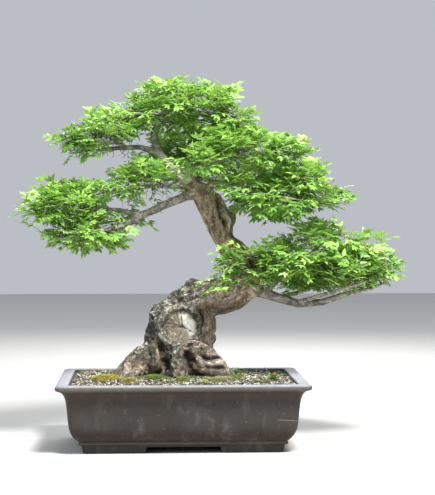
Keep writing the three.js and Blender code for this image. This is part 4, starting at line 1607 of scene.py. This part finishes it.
def make_foliage():
    own = settings().leaf
    starts = wood_starts()
    kinds = [compound_leaf(f"leaf_{i}", n, own.seed + i, own.leaf_length) for i, n in enumerate(LEAF_PAIRS)]
    tree = leaf_tree(leaf_green())
    leaves = collection_of("leaf_kinds", kinds)
    twig_wood = twig_bark()
    for number, node in enumerate(FOLIAGE_NODES):
        draw = np.random.default_rng(own.seed * 100 + number)
        name = node.replace("foliage_", "")
        shape = cad_shape([node])
        litres = abs(shape.calc_volume()) * 1000
        shape.free()
        inside, targets = twig_targets(node, litres, draw)
        near = gaps_to(inside, starts)
        close = np.flatnonzero(near < ROOTING_REACH)
        if len(close) < FEWEST_STARTS:
            close = np.argsort(near)[:FEWEST_STARTS]
        chosen = draw.choice(close, min(len(close), 70 + int(25 * litres)), replace=False)
        points, parents = grow(starts[chosen], targets, own.twig_step, draw)
        radii, children = twig_radii(parents, TWIG_TIP)
        radii = np.minimum(radii, TWIG_FOOT)
        make_twigs("twigs_" + name, points, parents, radii, twig_wood)
        rows = leaf_points(node, points, parents, radii, children, draw)
        marks = {"direction": rows[:, 3:6], "face_up": rows[:, 6:9], "size": rows[:, 9]}
        marks |= {"tint": rows[:, 10], "kind": rows[:, 11]}
        cloud = new_mesh(name + "_buds", rows[:, :3], [], smooth=False, **marks)
        mesh = run_geometry_tree(new_object(name + "_buds", cloud), tree, {"Leaves": leaves})
        finish_piece(new_object("leaves_" + name, mesh), "leaves", node)
    drop(kinds)


def make_twigs(name, points, parents, radii, material):
    parts, faces = [], []
    total = 0
    for chain in twig_chains(parents, radii):
        sizes = radii[chain].copy()
        sizes[0] = min(sizes[0], sizes[1] * 1.25)
        ring, ring_faces = tube(points[chain], sizes, 5 if sizes[0] > ROUND_TWIG else 4, total)
        parts.append(ring)
        faces += ring_faces
        total += len(ring)
    mesh = new_mesh(name, np.vstack(parts), faces)
    mesh.materials.append(material)
    finish_piece(new_object(name, mesh), "bark")


def twig_bark():
    nodes = new_material("twig_bark")
    fine = nodes.noise(4, 4, 0.7)
    tint = nodes.mix(fine.between(0.35, 0.65), (0.085, 0.060, 0.042), (0.260, 0.215, 0.165))
    return nodes.paint(Base_Color=tint, Roughness=0.8, Normal=nodes.bump(fine, 0.4, 0.7))


def leaf_green():
    """Leaf colour from young to old, with painted light on the foliage's top and outside and painted shade
    within, paler along the midrib, with light coming through the blade.
    """
    nodes = new_material("leaf_green")
    own = settings().leaf
    blade = nodes.attribute("blade", "Vector")
    across, along = blade.part("X"), blade.part("Y")
    across = across.math("ABSOLUTE", across)
    stops = [(0.0, own.old), (0.45, own.grown), (0.75, (0.390, 0.630, 0.155)), (1.0, own.young)]
    tint = nodes.layers(
        nodes.ramp(nodes.attribute("tint") + (nodes.noise(26, 2) - 0.5) * 0.5, stops),
        (across.between(0.22, 0.0) * 0.35, (0.50, 0.62, 0.16)),
        (along.between(0.55, 1.0) * 0.25, (0.46, 0.56, 0.10)),
    )
    return nodes.blade(0.27, (0.38, 0.62, 0.125), Base_Color=tint, Roughness=0.4, Specular_IOR_Level=0.38)


# ---- Moss, grass and weeds ----

MOSS_VOXEL = 1.3 * MM
CUSHION_BLADES, FILM_BLADES = 900000.0, 330000.0  # for each square metre


def blade_mesh(name, bend):
    """A moss blade one unit long, up +Z, that leans over as it rises."""
    path = [(bend * s * s, 0, s) for s in (0, 0.5, 1)]
    return new_object(name, new_mesh(name, *tube(path, (0.16, 0.088, 0.016), 3)))


def moss_mesh(node):
    """A cushion's ground: the CAD lump, finely divided and made uneven, thinning out towards its edge."""
    mesh = remeshed(mesh_of(node, cad_shape([node])), MOSS_VOXEL)
    points, faces, _, normals = settle(mesh, 3)
    spots = from_pot(points)
    upper = smoothstep(-0.1, 0.5, normals[:, 2])
    low, high = (np.array(c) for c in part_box(node))
    out = ((points - (low + high) / 2) / (high - low))[:, :2]
    ring = np.hypot(*out.T) * 2
    edge = smoothstep(1.02, 0.5, ring + lumps(spots, 27, 3, 3) * 1.5 + 0.1)
    drop_by = (1 - edge) * (points[:, 2] - low[2] + 1 * MM) * upper
    points = points + normals * (lumps(spots, 6, 3, 2) * 1.5 * MM * upper)[:, None]
    points[:, 2] -= drop_by
    return new_mesh(node, points, faces, cover=upper * smoothstep(0.25, 0.6, edge))


MOSS_TINTS = {
    "moss_left": ((0.25, 0.205, 0.028), (0.47, 0.41, 0.085)),
    "moss_front_left": ((0.23, 0.190, 0.028), (0.45, 0.38, 0.075)),
    "moss_root": ((0.060, 0.110, 0.018), (0.20, 0.25, 0.040)),
    "moss_centre": ((0.100, 0.130, 0.025), (0.30, 0.29, 0.07)),
    "moss_right": ((0.17, 0.165, 0.085), (0.47, 0.45, 0.29)),
}


def moss_green(name, dark, light):
    nodes = new_material(name)
    tint = nodes.layers(
        nodes.mix(nodes.attribute("tint").between(0.0, 1.0), dark, light),
        (nodes.noise(14, 4, 0.65, shift=3).between(0.48, 0.62) * 0.7, (0.09, 0.13, 0.025)),
        (nodes.noise(8, 4, 0.65, shift=6).between(0.54, 0.66) * 0.7, (0.13, 0.095, 0.035)),
    )
    return nodes.paint(Base_Color=tint, Roughness=0.85, Normal=nodes.bump(nodes.noise(1.1, 3), 0.6, 0.8))


def make_moss():
    own = settings().cover
    blades = [blade_mesh(f"moss_blade_{i}", bend) for i, bend in enumerate((0.1, 0.3, 0.5, 0.2))]
    group = collection_of("moss_blades", blades)
    sizes = (own.blade * 0.5, own.blade * 1.3)
    for number, node in enumerate(MOSS_NODES):
        material = moss_green(node + "_green", *MOSS_TINTS[node])
        base = moss_mesh(node)
        base.materials.append(material)
        bed = new_object(node + "_bed", base.copy())
        seed = own.seed + number
        mesh = scatter(node + "_blades", bed, material, group, CUSHION_BLADES, sizes, 0.6, seed)
        name = node.replace("moss_", "")
        finish_piece(new_object("cushion_" + name, base), "moss", node)
        finish_piece(new_object("moss_blades_" + name, mesh), "moss")
    make_moss_film(own, group)
    drop(blades)


def make_moss_film(own, group):
    """Thin green growth between the grains, most of it round the roots."""
    points, _ = arrays_of(bpy.data.objects["wood"].data)
    low = points[points[:, 2] < POT_HIGH.z + 12 * MM][::7]

    def cover(spots):
        near = gaps_to(low, place(spots)) / MM
        patchy = lumps(spots, 30, 3, 31) + 0.5 * lumps(spots, 9, 2, 32)
        return smoothstep(0.12, 0.75, patchy + 0.9 * smoothstep(45, 4, near) - 0.25)

    material = moss_green("moss_film", (0.040, 0.075, 0.014), (0.20, 0.25, 0.05))
    sizes = (own.blade * 0.5, own.blade * 1.25)
    bed = top_patch("film_bed", cover)
    mesh = scatter("moss_film", bed, material, group, FILM_BLADES, sizes, 0.7, own.seed + 20)
    finish_piece(new_object("moss_film", lifted(mesh, 1.2)), "moss")


def grass_blades(node, count, height, lean, width, draw):
    """Blades that rise and arch out from a node's foot."""
    low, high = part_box(node)
    foot = np.array(((low.x + high.x) / 2, (low.y + high.y) / 2, low.z + 1 * MM))
    parts, faces, tints = [], [], []
    total = 0
    for _ in range(count):
        turn = draw.uniform(0, 2 * math.pi)
        away = np.array((math.cos(turn), math.sin(turn), 0))
        long = height * draw.uniform(0.55, 1.05)
        bend = lean * draw.uniform(0.3, 1.2)
        start = foot + away * draw.uniform(0, 2.5) * MM
        share = np.linspace(0, 1, 6)[:, None]
        up = np.array((0, 0, 1))
        path = start + away * long * bend * share**1.6 + up * long * (share - 0.35 * bend * share**2.4)
        side = np.array((-away[1], away[0], 0))
        half = width * (1 - share**2.2 * 0.97) / 2
        crease = up * half * 0.5
        rows = np.stack([path + side * half, path - crease, path - side * half], 1).reshape(-1, 3)
        parts.append(rows)
        for i in range(5):
            for j in (0, 1):
                a = total + i * 3 + j
                faces.append([a, a + 3, a + 4, a + 1])
        total += len(rows)
        tints += [draw.random()] * len(rows)
    return new_mesh(node, np.vstack(parts), faces, tint=tints)


def grass_green(name, dark, light):
    nodes = new_material(name)
    tint = nodes.mix(nodes.attribute("tint"), dark, light)
    through = [(a + b) / 2 for a, b in zip(dark, light)]
    return nodes.blade(0.25, through, Base_Color=tint, Roughness=0.5)


# Each clump's name, CAD node and colours, then its count of blades, their height, lean and width.
CLUMPS = (
    ("tuft_blades", "grass_tuft", (0.07, 0.20, 0.08), (0.30, 0.50, 0.28), 48, 21, 0.75, 1.7),
    ("seedling", "weed_front", (0.16, 0.24, 0.04), (0.42, 0.48, 0.12), 20, 14, 0.95, 2.4),
    ("weed_blades", "weed_right", (0.05, 0.15, 0.025), (0.26, 0.42, 0.09), 34, 23, 1.1, 5.5),
)


def make_weeds():
    draw = np.random.default_rng(settings().cover.seed * 3)
    for name, node, dark, light, count, height, lean, width in CLUMPS:
        mesh = grass_blades(node, count, height * MM, lean, width * MM, draw)
        mesh.materials.append(grass_green(name + "_green", dark, light))
        finish_piece(new_object(name, mesh), "grass", node)
    make_bud()


def make_bud():
    """The reddish bud in the middle of the larger weed."""
    low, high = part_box("weed_right")
    foot = np.array(((low.x + high.x) / 2, (low.y + high.y) / 2, low.z + 2 * MM))
    path = foot + np.array([(0, 0, 0), (1, 0, 7), (2, -1, 11), (2, -1, 15)]) * MM
    mesh = new_mesh("weed_bud", *tube(path, np.array([0.7, 0.7, 2.4, 1.2]) * MM, 8))
    nodes = new_material("bud_red")
    tint = nodes.mix(nodes.noise(2.5, 3).between(0.4, 0.65), (0.28, 0.055, 0.030), (0.48, 0.17, 0.07))
    mesh.materials.append(nodes.paint(Base_Color=tint, Roughness=0.55))
    finish_piece(new_object("weed_bud", mesh), "grass")


# ---- Stage ----

FLOOR_REACH = 6.0  # from the object to each side, in metres
CAMERA_AIM = (64, -175, 406)
CAMERA_LENS = 104.2
LIGHT_AIM = (40, 0, 350)
BACKDROP_STRENGTH = 0.62


def aimed(obj, spot, aim):
    """The object, stood at one spot and turned to look at another."""
    spot, aim = Vector(place(spot)), Vector(place(aim))
    obj.location = spot
    obj.rotation_euler = (aim - spot).to_track_quat("-Z", "Y").to_euler()
    return obj


def area_light(name, spot, aim, size, power, tint):
    light = bpy.data.lights.new(name, "AREA")
    light.size = size
    light.energy = power
    light.color = tint
    aimed(new_object(name, light), spot, aim)


def make_stage():
    scene = bpy.context.scene
    far = FLOOR_REACH
    corners = [(x, y, POT_LOW.z) for x, y in ((-far, -far), (far, -far), (far, far), (-far, far))]
    floor = new_object("floor", new_mesh("floor", corners, [[0, 1, 2, 3]], False))
    nodes = new_material("floor_paint")
    floor.data.materials.append(nodes.paint(Base_Color=(0.52, 0.52, 0.51, 1.0), Roughness=0.85))

    camera = aimed(new_object("camera", bpy.data.cameras.new("camera")), FRONT_VIEW, CAMERA_AIM)
    camera.data.sensor_width = 36
    camera.data.lens = CAMERA_LENS
    camera.data.clip_end = 50
    scene.camera = camera

    area_light("key", (700, -1450, 2500), LIGHT_AIM, 0.7, 208, (1.0, 0.97, 0.92))
    area_light("fill", (-2200, -1600, 1300), LIGHT_AIM, 1.8, 22, (0.90, 0.95, 1.0))
    area_light("back", (300, 2000, 1700), (40, 0, 400), 1.4, 42, (1.0, 0.98, 0.95))
    world = bpy.data.worlds.new("studio")
    world.use_nodes = True
    backdrop = Nodes(world.node_tree)
    glow = backdrop.add("ShaderNodeBackground", inputs={0: (0.80, 0.84, 0.90, 1.0), 1: BACKDROP_STRENGTH})
    backdrop.add("ShaderNodeOutputWorld", inputs={"Surface": glow})
    scene.world = world
    scene.view_settings.view_transform = "Standard"


# ---- Operators and panel ----


class Builder:
    """What every operator here does: it calls its makers in order."""

    makers = ()

    def execute(self, context):
        for make in self.makers:
            make()
        return {"FINISHED"}


class BONSAI_OT_stage(Builder, Operator):
    """Sets the floor, the lights and the camera."""

    bl_idname = "bonsai.stage"
    bl_label = "Stage"
    makers = (make_stage,)


class BONSAI_OT_pot(Builder, Operator):
    """Lofts the tray pot with its rolled rim, stepped base and feet."""

    bl_idname = "bonsai.pot"
    bl_label = "Pot"
    makers = (make_pot,)


class BONSAI_OT_screens(Builder, Operator):
    """Gives the drain screens their plastic."""

    bl_idname = "bonsai.screens"
    bl_label = "Drain screens"
    makers = (make_screens,)


class BONSAI_OT_soil(Builder, Operator):
    """Breaks up the soil's top and scatters grit and litter over it."""

    bl_idname = "bonsai.soil"
    bl_label = "Soil"
    makers = (make_soil,)


class BONSAI_OT_wood(Builder, Operator):
    """Remeshes the trunk, roots and branches and raises their bark."""

    bl_idname = "bonsai.wood"
    bl_label = "Wood"
    makers = (make_wood,)


class BONSAI_OT_foliage(Builder, Operator):
    """Grows twigs into the masses of foliage and sets leaves on them."""

    bl_idname = "bonsai.foliage"
    bl_label = "Foliage"
    makers = (make_foliage,)


class BONSAI_OT_cover(Builder, Operator):
    """Makes the moss cushions, the grass tuft and the weeds."""

    bl_idname = "bonsai.cover"
    bl_label = "Moss and weeds"
    makers = (make_moss, make_weeds)


class BONSAI_PT_panel(Panel):
    """Lists the bonsai's pieces."""

    bl_label = "Potted Bonsai"
    bl_space_type = "VIEW_3D"
    bl_region_type = "UI"
    bl_category = "Bonsai"

    def draw(self, context):
        for operator in OPERATORS:
            self.layout.operator(operator.bl_idname)
        for name, kind in SETTINGS.items():
            box = self.layout.box()
            box.label(text=name.capitalize())
            for key in kind.__annotations__:
                box.prop(getattr(context.scene.bonsai, name), key)


OPERATORS = (
    BONSAI_OT_stage,
    BONSAI_OT_pot,
    BONSAI_OT_screens,
    BONSAI_OT_soil,
    BONSAI_OT_wood,
    BONSAI_OT_foliage,
    BONSAI_OT_cover,
)
CLASSES = (*SETTINGS.values(), BonsaiSettings, *OPERATORS, BONSAI_PT_panel)


def register():
    for each in CLASSES:
        bpy.utils.register_class(each)
    bpy.types.Scene.bonsai = PointerProperty(type=BonsaiSettings)


def unregister():
    del bpy.types.Scene.bonsai
    for each in reversed(CLASSES):
        bpy.utils.unregister_class(each)


def main():
    register()
    for operator in OPERATORS:
        group, name = operator.bl_idname.split(".")
        getattr(getattr(bpy.ops, group), name)()


if __name__ == "__main__":
    main()
